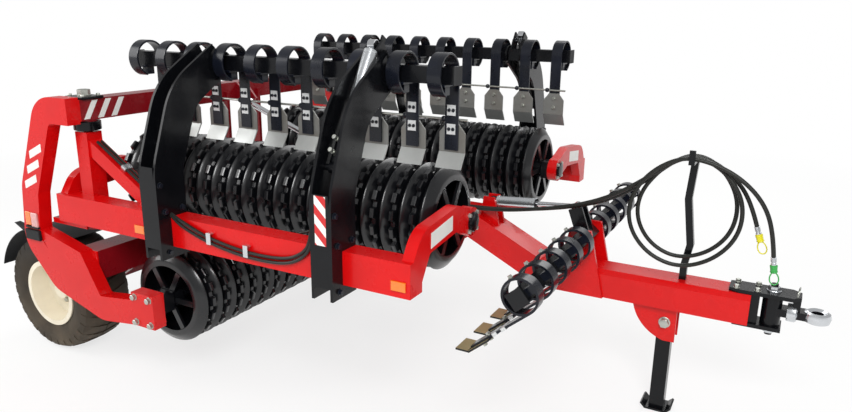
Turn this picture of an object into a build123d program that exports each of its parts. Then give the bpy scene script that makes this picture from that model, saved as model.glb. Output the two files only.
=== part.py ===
"""Folding land roller: ring rollers in three sections, with levelling spring boards.

Millimetres. +X points forwards to the towing eye, +Y to the machine's left, +Z up.
The origin lies on the ground below the middle of the machine's outline.
The machine stands as it parks: wings folded forwards, rear frame upright,
weight on the two wheels and on the parking leg.
"""
from math import atan2, cos, degrees, pi, sin, tan
import os

from build123d import *

os.makedirs("parts", exist_ok=True)

# Wheels
AXLE_X = -2000.0
TYRE_R = 390.0
TYRE_W = 340.0
WHEEL_Y = 1090.0
RIM_R = 205.0
RIM_LIP = 14.0
HUB_R = 60.0
STUB_R = 32.0

# Ring gangs
RING_R = 275.0
RING_CORE_R = 235.0
RING_BORE_R = 200.0
TOOTH_R = 272.0
TOOTH_ROOT_R = 246.0
TEETH = 16
RING_PITCH = 114.0
TOOTHED_W = 34.0
CENTRE_PAIRS = 21
WING_PAIRS = 19
SHAFT_R = 32.0
RING_HUB_R = 62.0
SPOKES = 6
SPOKE_W = 34.0
SPOKE_T = 16.0
GANG_OVERLAP = 50.0
GANG_GAP = 50.0
CENTRE_GANG_X = AXLE_X + 1050.0
CENTRE_GANG_Z = 560.0
WING_GANG_Y = 700.0

# Bearings that carry the gangs
BEARING = 110.0
BEARING_GAP = 6.0
BEARING_T = 50.0
SHAFT_END = BEARING_GAP + BEARING_T - 10.0

# Wing hinges
PIN_Y = 1215.0
PIN_R = 25.0
POST = 100.0
POST_TOP = 1500.0
BRACE_X = 535.0
PIN_GAP = 8.0

# Wing frames
BEAM_OUT = 1340.0
BEAM_W = 110.0
BEAM_H = 165.0
BEAM_Z = 965.0
ARM_T = 60.0
ARM_W = 130.0

# Rear frame
SIDE_ARM_IN = 1300.0
SIDE_ARM_T = 80.0
SIDE_ARM_W = 150.0
TOP_BEAM = 120.0
TOP_BEAM_Z = 1630.0
BOX_X0 = AXLE_X + 440.0
BOX_L = 160.0
BOX_Z0 = 620.0
BOX_H = 180.0
UPRIGHT_Y = 145.0
UPRIGHT_T = 25.0
UPRIGHT_L = 150.0

# Tipping hinge
TIP_X = AXLE_X + 550.0
TIP_Z = 1100.0
TIP_R = 45.0

# Main frame
RAIL_IN = 70.0
RAIL_T = 60.0
RAIL_Z0 = 860.0
RAIL_H = 160.0
RAIL_END_X = AXLE_X + 2450.0
DRAWBAR_W = 200.0
DRAWBAR_H = 160.0
DRAWBAR_Z0 = 640.0
DRAWBAR_KNEE_X = AXLE_X + 2900.0
DRAWBAR_END_X = AXLE_X + 4050.0
DRAWBAR_BEVEL = 25.0

# Wing spring boards
BOARD_Y = 880.0
BOARD_Z = 1905.0
BOARD_TUBE = 80.0
BOARD_X0 = AXLE_X + 620.0
BOARD_X1 = AXLE_X + 2730.0
LOOP_R = 92.0
LOOP_T = 12.0
TINE_W = 70.0
LEG_L = 370.0
WING_TINES = 10
BOARD_END = 70.0
PLATE_W = 120.0
PLATE_T = 8.0
TINE_ROD_R = 6.0

# Booms that hold the wing spring boards
BOOM_AFTER_TINE = (3, 8)
BOOM_GAP = 90.0
BOOM_T = 15.0
BOOM_W = 190.0

# Centre spring board
CBOARD_X = AXLE_X + 3150.0
CBOARD_Z = 960.0
CBOARD_HALF = 1080.0
CBOARD_TINES = 10
CBOARD_LEAN = 50.0

# Parking leg
LEG_X = AXLE_X + 3640.0
LEG_Z = 550.0
LEG_W = 80.0
LEG_PLATE_T = 12.0

# Cylinders
TIP_EYE = (AXLE_X + 650.0, 1550.0)
TIP_BASE = (AXLE_X + 1850.0, 1100.0)
BARREL_R = 42.0
ROD_R = 20.0
EYE_R = 34.0
NECK_R = 24.0
EYE_W = 50.0
BOARD_EYE_W = 36.0
LUG_T = 16.0
LUG_GAP = 8.0

BOARD_BARREL = 330.0
BOARD_BARREL_R = 30.0
BOARD_ROD_R = 15.0
BOARD_STROKE = 195.0
TIP_STROKE = 426.0
CENTRE_STROKE = 95.0
BOARD_PIVOT_R = 30.0
BOARD_SIDE_GAP = 6.0
LEVER = (-90.0, 130.0)
LEVER_T = 12.0

# Smaller pieces
SEAT = 0.3
HUB_LEN = 60.0
LUG_PLATE_T = 30.0
CARRIER_Y = 860.0
CARRIER_T = 40.0
MUDGUARD_R = 440.0
MUDGUARD_W = 360.0
LEG_GAP = 8.0
HITCH_X = DRAWBAR_END_X + 310.0
HITCH_R = 26.0
HITCH_Z = DRAWBAR_Z0 + DRAWBAR_H / 2
STOP_GAP = 20.0
PIVOT_R = 15.0
PIVOT_BORE = PIVOT_R + 0.4
TIP_BARREL = 640.0
CENTRE_BARREL = 270.0
HOSE_X = DRAWBAR_KNEE_X + 800.0
HITCH_PLATE_T = 20.0
TOE = 26.0

# Hoses
HOSE_R = 11.0
HOOK_Z = 1490.0
HOOK_T = 16.0
HOOK_Y = 165.0
HOSE_BLOCK = (60.0, 90.0, 55.0)
HOSE_GAP = 2.0
HOSE_EXIT = (AXLE_X + 2440.0, -80.0, RAIL_Z0 + RAIL_H + 30.0)
COUPLER_R = 14.0
COUPLER_L = 70.0
HANDLE_R = 32.0
HANDLE_T = 9.0
PIPE_R = 8.0
# Route of each free hose: forward from the hook, sideways, up from the hook
INNER_ROUTE = (
    (-1060, -82, -432),
    (-840, -84, -400),
    (-610, -82, -352),
    (-400, -76, -280),
    (-240, -64, -165),
    (-60, -48, 0),
    (60, -42, 0),
    (170, -41, -90),
    (235, -44, -230),
    (215, -50, -390),
    (110, -56, -510),
    (-40, -62, -560),
    (-180, -68, -500),
    (-262, -75, -370),
    (-255, -83, -220),
    (-160, -87, -80),
    (-50, -82, 0),
    (62, -77, 0),
    (190, -74, -75),
    (285, -76, -190),
    (330, -79, -320),
)
OUTER_ROUTE = (
    (-1060, -114, -430),
    (-840, -117, -392),
    (-610, -118, -340),
    (-410, -119, -262),
    (-245, -117, -150),
    (-62, -113, 0),
    (60, -110, 0),
    (180, -110, -75),
    (262, -112, -210),
    (255, -116, -380),
    (150, -120, -520),
    (-10, -124, -590),
    (-170, -128, -545),
    (-280, -132, -420),
    (-300, -137, -260),
    (-215, -142, -100),
    (-70, -146, 0),
    (60, -145, 0),
    (215, -139, -60),
    (340, -135, -170),
    (405, -132, -310),
    (425, -130, -450),
)

# Values that follow from the ones above
SMOOTH_W = RING_PITCH - TOOTHED_W
RING_TAPER = degrees(atan2(RING_R - RING_CORE_R, SMOOTH_W / 2))
SPOKE_OUT_R = RING_BORE_R * cos(pi / TEETH) - 1
SPOKE_LEN = SPOKE_OUT_R - RING_HUB_R + 8
SPOKE_MID_R = SPOKE_OUT_R - SPOKE_LEN / 2
LOWER_LUG_Z = BEAM_Z - PIN_GAP - LUG_PLATE_T
LUG_IN = EYE_W / 2 + LUG_GAP
HOSE_SPREAD = 3 * HOSE_R
TINE_PITCH = (BOARD_X1 - BOARD_X0 - 2 * BOARD_END) / (WING_TINES - 1)
BOOM_X = [
    BOARD_X0 + BOARD_END + (k - 0.5) * TINE_PITCH - BOOM_T - BOOM_GAP / 2 for k in BOOM_AFTER_TINE
]
CYL_X = BOOM_X[1] + BOOM_T + BOOM_GAP / 2
LEVER_SPREAD = BOARD_EYE_W + 2 * LUG_GAP
LEVER_X = CYL_X - LEVER_SPREAD / 2
EYE_RIGHT = (-BOARD_Y + LEVER[0], BOARD_Z + LEVER[1])
BASE_RIGHT = (-BEAM_OUT + 40, BOARD_Z - 400)
CEYE = (CBOARD_X - 60, CBOARD_Z + 160)
CBASE = (AXLE_X + 2560, RAIL_Z0 + RAIL_H + 60)
TINE_XS = [BOARD_X0 + BOARD_END + k * TINE_PITCH for k in range(WING_TINES)]
CTINE_YS = [
    side * (190 + k * (CBOARD_HALF - 250) / (CBOARD_TINES / 2 - 1))
    for side in (1, -1)
    for k in range(CBOARD_TINES // 2)
]
CENTRE_HALF = CENTRE_PAIRS * RING_PITCH / 2
WING_LEN = WING_PAIRS * RING_PITCH
WING_GANG_Z = CENTRE_GANG_Z + 2 * RING_R + GANG_GAP
PIN_X = CENTRE_GANG_X - (PIN_Y - WING_GANG_Y)
WING_X0 = PIN_X + CENTRE_HALF - GANG_OVERLAP - PIN_Y
WING_X1 = WING_X0 + WING_LEN
REAR_ARM_X = WING_X0 - BEARING_GAP - BEARING_T - ARM_T
FRONT_ARM_X = WING_X1 + BEARING_GAP + BEARING_T
BEAM_IN = BEAM_OUT - BEAM_W
WHEEL_Z = TYRE_R
TOOTH_FLAT = pi / TEETH


def star(outer, root):
    """Corner points of a toothed ring, flat-topped teeth round the origin."""
    points = []
    for k in range(TEETH):
        a = 2 * k * TOOTH_FLAT
        points.append((outer * cos(a - 0.30 * TOOTH_FLAT), outer * sin(a - 0.30 * TOOTH_FLAT)))
        points.append((root * cos(a + TOOTH_FLAT), root * sin(a + TOOTH_FLAT)))
    return points


def ring_planes(base, first, count):
    """Planes at the start of each ring pair, one pitch apart along the gang."""
    return [base.offset(first + k * RING_PITCH) for k in range(count)]


# Wheels
with BuildPart() as tyre_right:
    with BuildSketch(Plane.XY) as tyre_profile:
        with BuildLine():
            Polyline(
                (RIM_R, -TYRE_W * 0.40),
                (TYRE_R - 70, -TYRE_W / 2),
                (TYRE_R - 22, -TYRE_W * 0.45),
                (TYRE_R, -TYRE_W * 0.33),
                (TYRE_R, TYRE_W * 0.33),
                (TYRE_R - 22, TYRE_W * 0.45),
                (TYRE_R - 70, TYRE_W / 2),
                (RIM_R, TYRE_W * 0.40),
                close=True,
            )
        make_face()
    revolve(axis=Axis.Y)
tyre_right.part = tyre_right.part.moved(Location((AXLE_X, -WHEEL_Y, WHEEL_Z)))

with BuildPart() as rim_right:
    with BuildSketch(Plane.XY) as rim_profile:
        with BuildLine():
            Polyline(
                (HUB_R, -20),
                (RIM_R - 60, -20),
                (RIM_R - 20, 30),
                (RIM_R - 20, TYRE_W * 0.38),
                (RIM_R - 0.5, TYRE_W * 0.38),
                (RIM_R - 0.5, -TYRE_W * 0.43),
                (RIM_R + RIM_LIP, -TYRE_W * 0.43),
                (RIM_R + RIM_LIP, -TYRE_W * 0.46),
                (RIM_R - 16, -TYRE_W * 0.46),
                (RIM_R - 30, -40),
                (RIM_R - 70, -32),
                (HUB_R, -32),
                close=True,
            )
        make_face()
    revolve(axis=Axis.Y)
    with BuildSketch(Plane.XZ.offset(-30)) as hub_disc:
        Circle(HUB_R)
        Circle(STUB_R + 0.5, mode=Mode.SUBTRACT)
    extrude(amount=100)
    with BuildSketch(Plane.XZ.offset(70)) as hub_cap:
        Circle(HUB_R)
    extrude(amount=12)
rim_right.part = rim_right.part.moved(Location((AXLE_X, -WHEEL_Y, WHEEL_Z)))

# Centre gang: toothed and smooth rings in turn along Y
with BuildPart() as centre_rings:
    with BuildSketch(*ring_planes(Plane.XZ, -CENTRE_HALF, CENTRE_PAIRS)):
        with Locations((CENTRE_GANG_X, CENTRE_GANG_Z)):
            Polygon(*star(TOOTH_R, TOOTH_ROOT_R), align=None)
    extrude(amount=TOOTHED_W)
    with BuildSketch(*ring_planes(Plane.XZ, TOOTHED_W + SMOOTH_W / 2 - CENTRE_HALF, CENTRE_PAIRS)):
        with Locations((CENTRE_GANG_X, CENTRE_GANG_Z)):
            RegularPolygon(RING_R, 2 * TEETH)
    extrude(amount=SMOOTH_W / 2, taper=RING_TAPER, both=True)
    with BuildSketch(Plane.XZ.offset(-CENTRE_HALF)) as centre_bore:
        with Locations((CENTRE_GANG_X, CENTRE_GANG_Z)):
            RegularPolygon(RING_BORE_R, TEETH)
    extrude(amount=2 * CENTRE_HALF, mode=Mode.SUBTRACT)

# Centre gang: shaft with a spoked wheel in each end ring
with BuildPart() as centre_shaft:
    with BuildSketch(Plane.XZ.offset(-CENTRE_HALF - SHAFT_END)):
        with Locations((CENTRE_GANG_X, CENTRE_GANG_Z)):
            Circle(SHAFT_R)
    extrude(amount=2 * (CENTRE_HALF + SHAFT_END))
    with BuildSketch(Plane.XZ.offset(-CENTRE_HALF), Plane.XZ.offset(CENTRE_HALF - HUB_LEN)):
        with Locations((CENTRE_GANG_X, CENTRE_GANG_Z)):
            Circle(RING_HUB_R)
    extrude(amount=HUB_LEN)
    with BuildSketch(Plane.XZ.offset(-CENTRE_HALF), Plane.XZ.offset(CENTRE_HALF - SPOKE_T)):
        with Locations((CENTRE_GANG_X, CENTRE_GANG_Z)):
            with PolarLocations(SPOKE_MID_R, SPOKES):
                Rectangle(SPOKE_LEN, SPOKE_W)
    extrude(amount=SPOKE_T)

# Right wing gang along X
with BuildPart() as wing_rings_right:
    with BuildSketch(*ring_planes(Plane.YZ, WING_X0, WING_PAIRS)):
        with Locations((-WING_GANG_Y, WING_GANG_Z)):
            Polygon(*star(TOOTH_R, TOOTH_ROOT_R), align=None)
    extrude(amount=TOOTHED_W)
    with BuildSketch(*ring_planes(Plane.YZ, WING_X0 + TOOTHED_W + SMOOTH_W / 2, WING_PAIRS)):
        with Locations((-WING_GANG_Y, WING_GANG_Z)):
            RegularPolygon(RING_R, 2 * TEETH)
    extrude(amount=SMOOTH_W / 2, taper=RING_TAPER, both=True)
    with BuildSketch(Plane.YZ.offset(WING_X0)) as wing_bore:
        with Locations((-WING_GANG_Y, WING_GANG_Z)):
            RegularPolygon(RING_BORE_R, TEETH)
    extrude(amount=WING_LEN, mode=Mode.SUBTRACT)

with BuildPart() as wing_shaft_right:
    with BuildSketch(Plane.YZ.offset(WING_X0 - SHAFT_END)):
        with Locations((-WING_GANG_Y, WING_GANG_Z)):
            Circle(SHAFT_R)
    extrude(amount=WING_LEN + 2 * SHAFT_END)
    with BuildSketch(Plane.YZ.offset(WING_X0), Plane.YZ.offset(WING_X1 - HUB_LEN)):
        with Locations((-WING_GANG_Y, WING_GANG_Z)):
            Circle(RING_HUB_R)
    extrude(amount=HUB_LEN)
    with BuildSketch(Plane.YZ.offset(WING_X0), Plane.YZ.offset(WING_X1 - SPOKE_T)):
        with Locations((-WING_GANG_Y, WING_GANG_Z)):
            with PolarLocations(SPOKE_MID_R, SPOKES):
                Rectangle(SPOKE_LEN, SPOKE_W)
    extrude(amount=SPOKE_T)

# Right wing frame: square beam, post on the hinge, brace and end arms
ARM_PATH = (
    (-(BEAM_OUT - BEAM_W / 2), BEAM_Z + BEAM_H / 2),
    (-(BEAM_OUT - BEAM_W / 2) + 90, WING_GANG_Z + 30),
    (-WING_GANG_Y - 180, WING_GANG_Z + 60),
    (-WING_GANG_Y, WING_GANG_Z),
)
with BuildPart() as wing_beam_right:
    with BuildSketch(Plane.YZ.offset(REAR_ARM_X)):
        with Locations((-(BEAM_OUT - BEAM_W / 2), BEAM_Z + BEAM_H / 2)):
            Rectangle(BEAM_W, BEAM_H)
    extrude(amount=FRONT_ARM_X + ARM_T - REAR_ARM_X)
    with BuildSketch(Plane.YZ.offset(REAR_ARM_X), Plane.YZ.offset(FRONT_ARM_X)):
        with BuildLine() as arm_line:
            FilletPolyline(*ARM_PATH, radius=90)
        trace(line_width=ARM_W)
        with Locations((-WING_GANG_Y, WING_GANG_Z)):
            Circle(ARM_W / 2 + 10)
    extrude(amount=ARM_T)
    with BuildSketch(Plane.XY.offset(BEAM_Z)):
        with Locations((PIN_X, -PIN_Y)):
            Rectangle(POST, POST)
    extrude(amount=POST_TOP - BEAM_Z)
    with BuildSketch(Plane.XZ.offset(PIN_Y - POST / 2 + 10)):
        with BuildLine():
            Polyline((PIN_X, POST_TOP - 60), (PIN_X + BRACE_X, BEAM_Z + BEAM_H - 20))
        trace(line_width=80)
    extrude(amount=POST - 20)
    with BuildSketch(Plane.XY.offset(BEAM_Z + 20)):
        with Locations((PIN_X + BRACE_X, -PIN_Y - 20)):
            Rectangle(140, 100)
    extrude(amount=BEAM_H)
    with BuildSketch(Plane.XY.offset(BEAM_Z)):
        with Locations((PIN_X, -PIN_Y)):
            Circle(PIN_R + 0.5)
    extrude(amount=POST_TOP - BEAM_Z, mode=Mode.SUBTRACT)

with BuildPart() as wing_bearings_right:
    with BuildSketch(Plane.YZ.offset(WING_X0 - BEARING_GAP - BEARING_T), Plane.YZ.offset(FRONT_ARM_X - BEARING_T)):
        with Locations((-WING_GANG_Y, WING_GANG_Z)):
            Rectangle(BEARING, BEARING)
            Circle(SHAFT_R + 0.5, mode=Mode.SUBTRACT)
    extrude(amount=BEARING_T)

# Right booms: two curved plates with an outer strip, clamped to the beam
BOOM_PATH = (
    (-BEAM_OUT + 15, BEAM_Z - 60),
    (-BEAM_OUT + 15, BEAM_Z + 420),
    (-BEAM_OUT + 150, BOARD_Z - 150),
    (-BOARD_Y - 30, BOARD_Z + 20),
)
with BuildPart() as booms_right:
    for x in BOOM_X:
        with BuildSketch(Plane.YZ.offset(x), Plane.YZ.offset(x + BOOM_T + BOOM_GAP)):
            with BuildLine():
                FilletPolyline(*BOOM_PATH, radius=300)
            trace(line_width=BOOM_W)
            with Locations((-(BEAM_OUT - BEAM_W / 2), BEAM_Z + BEAM_H / 2)):
                Rectangle(BEAM_W, BEAM_H, mode=Mode.SUBTRACT)
            with Locations((-BOARD_Y, BOARD_Z)):
                Circle(BOARD_TUBE * 0.75)
                Circle(BOARD_PIVOT_R + 0.5, mode=Mode.SUBTRACT)
        extrude(amount=BOOM_T)
        with BuildSketch(Plane.YZ.offset(x + BOOM_T)):
            with Locations((-BEAM_OUT + 15 - BOOM_W / 2 + 6, BEAM_Z + 220)):
                Rectangle(12, 440)
        extrude(amount=BOOM_GAP)
        with BuildSketch(Plane.YZ.offset(x)):
            with Locations(BASE_RIGHT):
                Circle(PIVOT_R)
        extrude(amount=BOOM_GAP + 2 * BOOM_T)

# Right wing spring board: square tube, round necks in the booms, looped tines
with BuildPart() as board_tube_right:
    with BuildSketch(Plane.YZ.offset(BOARD_X0)):
        with Locations((-BOARD_Y, BOARD_Z)):
            Rectangle(BOARD_TUBE, BOARD_TUBE)
    extrude(amount=BOARD_X1 - BOARD_X0)
    for x in BOOM_X:
        for dx in (0, BOOM_T + BOOM_GAP):
            with BuildSketch(Plane.YZ.offset(x + dx - BOARD_SIDE_GAP)):
                with Locations((-BOARD_Y, BOARD_Z)):
                    Rectangle(BOARD_TUBE + 2, BOARD_TUBE + 2)
                    Circle(BOARD_PIVOT_R, mode=Mode.SUBTRACT)
            extrude(amount=BOOM_T + 2 * BOARD_SIDE_GAP, mode=Mode.SUBTRACT)
    with BuildSketch(Plane.YZ.offset(LEVER_X)):
        with BuildLine():
            Polyline((-BOARD_Y, BOARD_Z), (-BOARD_Y + LEVER[0], BOARD_Z + LEVER[1]))
        trace(line_width=70)
    extrude(amount=-LEVER_T)
    with BuildSketch(Plane.YZ.offset(LEVER_X + LEVER_SPREAD)):
        with BuildLine():
            Polyline((-BOARD_Y, BOARD_Z), (-BOARD_Y + LEVER[0], BOARD_Z + LEVER[1]))
        trace(line_width=70)
    extrude(amount=LEVER_T)

TINE_LOOP = BOARD_TUBE / 2 + 4
with BuildPart() as board_tines_right:
    for x in TINE_XS:
        with BuildSketch(Plane.YZ.offset(x - TINE_W / 2)):
            with Locations((-BOARD_Y, BOARD_Z)):
                Circle(LOOP_R)
                Circle(LOOP_R - LOOP_T, mode=Mode.SUBTRACT)
            with Locations((-BOARD_Y - LOOP_R + LOOP_T / 2, BOARD_Z - LEG_L / 2)):
                Rectangle(LOOP_T, LEG_L)
            with Locations((-BOARD_Y, BOARD_Z + (LOOP_R - LOOP_T + BOARD_TUBE / 2) / 2)):
                Rectangle(40, LOOP_R - LOOP_T - BOARD_TUBE / 2 + 4)
            with Locations((-BOARD_Y, BOARD_Z)):
                Rectangle(BOARD_TUBE, BOARD_TUBE, mode=Mode.SUBTRACT)
        extrude(amount=TINE_W)

with BuildPart() as board_plates_right:
    for x in TINE_XS:
        with BuildSketch(Plane.YZ.offset(x - PLATE_W / 2)):
            with BuildLine():
                Polyline(
                    (-BOARD_Y - LOOP_R - PLATE_T / 2 - SEAT, BOARD_Z - LEG_L + 130),
                    (-BOARD_Y - LOOP_R - PLATE_T / 2 - SEAT, BOARD_Z - LEG_L - 12),
                    (-BOARD_Y - LOOP_R + 42, BOARD_Z - LEG_L - 86),
                )
            trace(line_width=PLATE_T)
        extrude(amount=PLATE_W)
    with BuildSketch(Plane.YZ.offset(TINE_XS[0] - TINE_W)):
        with Locations((-BOARD_Y - LOOP_R - TINE_ROD_R - SEAT, BOARD_Z - LEG_L + 150)):
            Circle(TINE_ROD_R)
    extrude(amount=TINE_XS[-1] - TINE_XS[0] + 2 * TINE_W)

# Cylinder that turns the right wing spring board
CYL_DIR = (EYE_RIGHT[0] - BASE_RIGHT[0], EYE_RIGHT[1] - BASE_RIGHT[1])
CYL_LEN = (CYL_DIR[0] ** 2 + CYL_DIR[1] ** 2) ** 0.5
CYL_PLANE = Plane(
    origin=(CYL_X, BASE_RIGHT[0], BASE_RIGHT[1]),
    x_dir=(1, 0, 0),
    z_dir=(0, CYL_DIR[0] / CYL_LEN, CYL_DIR[1] / CYL_LEN),
)
with BuildPart() as board_barrel_right:
    with BuildSketch(Plane.YZ.offset(CYL_X - BOARD_EYE_W / 2)):
        with Locations(BASE_RIGHT):
            Circle(28)
    extrude(amount=BOARD_EYE_W)
    with BuildSketch(CYL_PLANE.offset(20)):
        Circle(BOARD_BARREL_R)
    extrude(amount=BOARD_BARREL)
    with BuildSketch(CYL_PLANE.offset(40)):
        Circle(BOARD_ROD_R + 0.3)
    extrude(amount=BOARD_BARREL, mode=Mode.SUBTRACT)
    with BuildSketch(Plane.YZ.offset(CYL_X - BOARD_EYE_W / 2)):
        with Locations(BASE_RIGHT):
            Circle(PIVOT_BORE)
    extrude(amount=BOARD_EYE_W, mode=Mode.SUBTRACT)

with BuildPart() as board_rod_right:
    with BuildSketch(CYL_PLANE.offset(40 + BOARD_STROKE + STOP_GAP)):
        Circle(BOARD_ROD_R)
    extrude(amount=CYL_LEN - 40 - BOARD_STROKE - STOP_GAP)
    with BuildSketch(Plane.YZ.offset(CYL_X - BOARD_EYE_W / 2)):
        with Locations(EYE_RIGHT):
            Circle(26)
    extrude(amount=BOARD_EYE_W)

# Cylinder that tips the rear frame, and cylinder that turns the centre spring board
TIP_DIR = (TIP_EYE[0] - TIP_BASE[0], TIP_EYE[1] - TIP_BASE[1])
TIP_LEN = (TIP_DIR[0] ** 2 + TIP_DIR[1] ** 2) ** 0.5
TIP_PLANE = Plane(
    origin=(TIP_BASE[0], 0, TIP_BASE[1]),
    x_dir=(0, 1, 0),
    z_dir=(TIP_DIR[0] / TIP_LEN, 0, TIP_DIR[1] / TIP_LEN),
)
with BuildPart() as tip_barrel:
    with BuildSketch(Plane.XZ.offset(-EYE_W / 2)):
        with Locations(TIP_BASE):
            Circle(EYE_R)
    extrude(amount=EYE_W)
    with BuildSketch(TIP_PLANE.offset(20)):
        Circle(NECK_R)
    extrude(amount=60)
    with BuildSketch(TIP_PLANE.offset(65)):
        Circle(BARREL_R)
    extrude(amount=TIP_BARREL - 40)
    with BuildSketch(TIP_PLANE.offset(50)):
        Circle(ROD_R + 0.3)
    extrude(amount=TIP_BARREL, mode=Mode.SUBTRACT)
    with BuildSketch(Plane.XZ.offset(-EYE_W / 2)):
        with Locations(TIP_BASE):
            Circle(PIVOT_BORE)
    extrude(amount=EYE_W, mode=Mode.SUBTRACT)

with BuildPart() as tip_rod:
    with BuildSketch(TIP_PLANE.offset(50 + TIP_STROKE + STOP_GAP)):
        Circle(ROD_R)
    extrude(amount=TIP_LEN - 50 - TIP_STROKE - STOP_GAP)
    with BuildSketch(Plane.XZ.offset(-EYE_W / 2)):
        with Locations(TIP_EYE):
            Circle(EYE_R)
    extrude(amount=EYE_W)

CEN_DIR = (CEYE[0] - CBASE[0], CEYE[1] - CBASE[1])
CEN_LEN = (CEN_DIR[0] ** 2 + CEN_DIR[1] ** 2) ** 0.5
CEN_PLANE = Plane(
    origin=(CBASE[0], 0, CBASE[1]),
    x_dir=(0, 1, 0),
    z_dir=(CEN_DIR[0] / CEN_LEN, 0, CEN_DIR[1] / CEN_LEN),
)
with BuildPart() as centre_barrel:
    with BuildSketch(Plane.XZ.offset(-EYE_W / 2)):
        with Locations(CBASE):
            Circle(28)
    extrude(amount=EYE_W)
    with BuildSketch(CEN_PLANE.offset(20)):
        Circle(BOARD_BARREL_R)
    extrude(amount=CENTRE_BARREL)
    with BuildSketch(CEN_PLANE.offset(40)):
        Circle(BOARD_ROD_R + 0.3)
    extrude(amount=CENTRE_BARREL, mode=Mode.SUBTRACT)
    with BuildSketch(Plane.XZ.offset(-EYE_W / 2)):
        with Locations(CBASE):
            Circle(PIVOT_BORE)
    extrude(amount=EYE_W, mode=Mode.SUBTRACT)

with BuildPart() as centre_rod:
    with BuildSketch(CEN_PLANE.offset(40 + CENTRE_STROKE + STOP_GAP)):
        Circle(BOARD_ROD_R)
    extrude(amount=CEN_LEN - 40 - CENTRE_STROKE - STOP_GAP)
    with BuildSketch(Plane.XZ.offset(-EYE_W / 2)):
        with Locations(CEYE):
            Circle(26)
    extrude(amount=EYE_W)

# Rear frame: curved side arms, top beam, lower box, uprights, wheel carriers
SIDE_PATH = (
    (PIN_X + TOP_BEAM / 2, TOP_BEAM_Z),
    (PIN_X - 160, TOP_BEAM_Z),
    (AXLE_X + 165, 1140),
    (AXLE_X + 125, 820),
    (AXLE_X + 330, 600),
    (AXLE_X + 700, 490),
    (CENTRE_GANG_X + 80, 545),
)
with BuildPart() as rear_frame:
    with BuildSketch(Plane.XZ.offset(SIDE_ARM_IN), Plane.XZ.offset(-SIDE_ARM_IN - SIDE_ARM_T)):
        with BuildLine():
            FilletPolyline(*SIDE_PATH, radius=120)
        trace(line_width=SIDE_ARM_W)
        Polygon(
            (AXLE_X + 190, 900),
            (AXLE_X + 560, 810),
            (AXLE_X + 700, 560),
            (AXLE_X + 400, 560),
            align=None,
        )
        with Locations((CENTRE_GANG_X, CENTRE_GANG_Z - 10)):
            Rectangle(170, 200)
    extrude(amount=SIDE_ARM_T)
    with BuildSketch(Plane.XZ.offset(-SIDE_ARM_IN)):
        with Locations((PIN_X, TOP_BEAM_Z)):
            Rectangle(TOP_BEAM, TOP_BEAM)
        with Locations((BOX_X0 + BOX_L / 2, BOX_Z0 + BOX_H / 2)):
            Rectangle(BOX_L, BOX_H)
    extrude(amount=2 * SIDE_ARM_IN)
    with BuildSketch(Plane.XZ.offset(UPRIGHT_Y), Plane.XZ.offset(-UPRIGHT_Y - UPRIGHT_T)):
        with Locations((TIP_X - 10, (BOX_Z0 + TOP_BEAM_Z) / 2)):
            Rectangle(UPRIGHT_L, TOP_BEAM_Z - BOX_Z0)
        with Locations((TIP_X, TIP_Z)):
            Circle(TIP_R + 0.5, mode=Mode.SUBTRACT)
    extrude(amount=UPRIGHT_T)
    for side in (1, -1):
        with BuildSketch(Plane.XY.offset(LOWER_LUG_Z)):
            with Locations((PIN_X, -side * PIN_Y)):
                Circle(75)
            with Locations(((AXLE_X + 230 + PIN_X) / 2, -side * (PIN_Y + 20))):
                Rectangle(PIN_X - AXLE_X - 230, 130)
        extrude(amount=LUG_PLATE_T)
        with BuildSketch(Plane.XY.offset(POST_TOP + PIN_GAP)):
            with Locations((PIN_X, -side * PIN_Y)):
                Circle(60)
        extrude(amount=TOP_BEAM_Z - TOP_BEAM / 2 - POST_TOP - PIN_GAP)
        with BuildSketch(Plane.XY.offset(LOWER_LUG_Z)):
            with Locations((PIN_X, -side * PIN_Y)):
                Circle(PIN_R)
        extrude(amount=TOP_BEAM_Z - LOWER_LUG_Z)
        with BuildSketch(Plane.XZ.offset(side * CARRIER_Y - CARRIER_T / 2)):
            Polygon(
                (AXLE_X - 70, WHEEL_Z - 70),
                (AXLE_X + 60, WHEEL_Z - 70),
                (BOX_X0 + 60, BOX_Z0),
                (BOX_X0 + 60, BOX_Z0 + BOX_H),
                (BOX_X0, BOX_Z0 + BOX_H),
                (AXLE_X - 70, WHEEL_Z + 80),
                align=None,
            )
        extrude(amount=CARRIER_T)
    with BuildSketch(Plane.XZ.offset(-WHEEL_Y - 60)):
        with Locations((AXLE_X, WHEEL_Z)):
            Circle(STUB_R)
    extrude(amount=2 * WHEEL_Y + 120)
    with BuildSketch(Plane.XZ.offset(-CARRIER_Y)):
        with Locations((AXLE_X, WHEEL_Z)):
            Rectangle(100, 100)
    extrude(amount=2 * CARRIER_Y)
    for y in (LUG_IN, -LUG_IN - LUG_T):
        with BuildSketch(Plane.XZ.offset(y)):
            Polygon(
                (PIN_X + TOP_BEAM / 2, TOP_BEAM_Z - TOP_BEAM / 2),
                (TIP_EYE[0] + 35, TIP_EYE[1] - 35),
                (TIP_EYE[0] + 45, TIP_EYE[1] + 25),
                (PIN_X + TOP_BEAM / 2, TOP_BEAM_Z + TOP_BEAM / 2),
                align=None,
            )
        extrude(amount=LUG_T)

with BuildPart() as centre_bearings:
    with BuildSketch(Plane.XZ.offset(CENTRE_HALF + BEARING_GAP), Plane.XZ.offset(-SIDE_ARM_IN)):
        with Locations((CENTRE_GANG_X, CENTRE_GANG_Z)):
            Rectangle(BEARING, BEARING)
            Circle(SHAFT_R + 0.5, mode=Mode.SUBTRACT)
    extrude(amount=SIDE_ARM_IN - CENTRE_HALF - BEARING_GAP)

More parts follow.
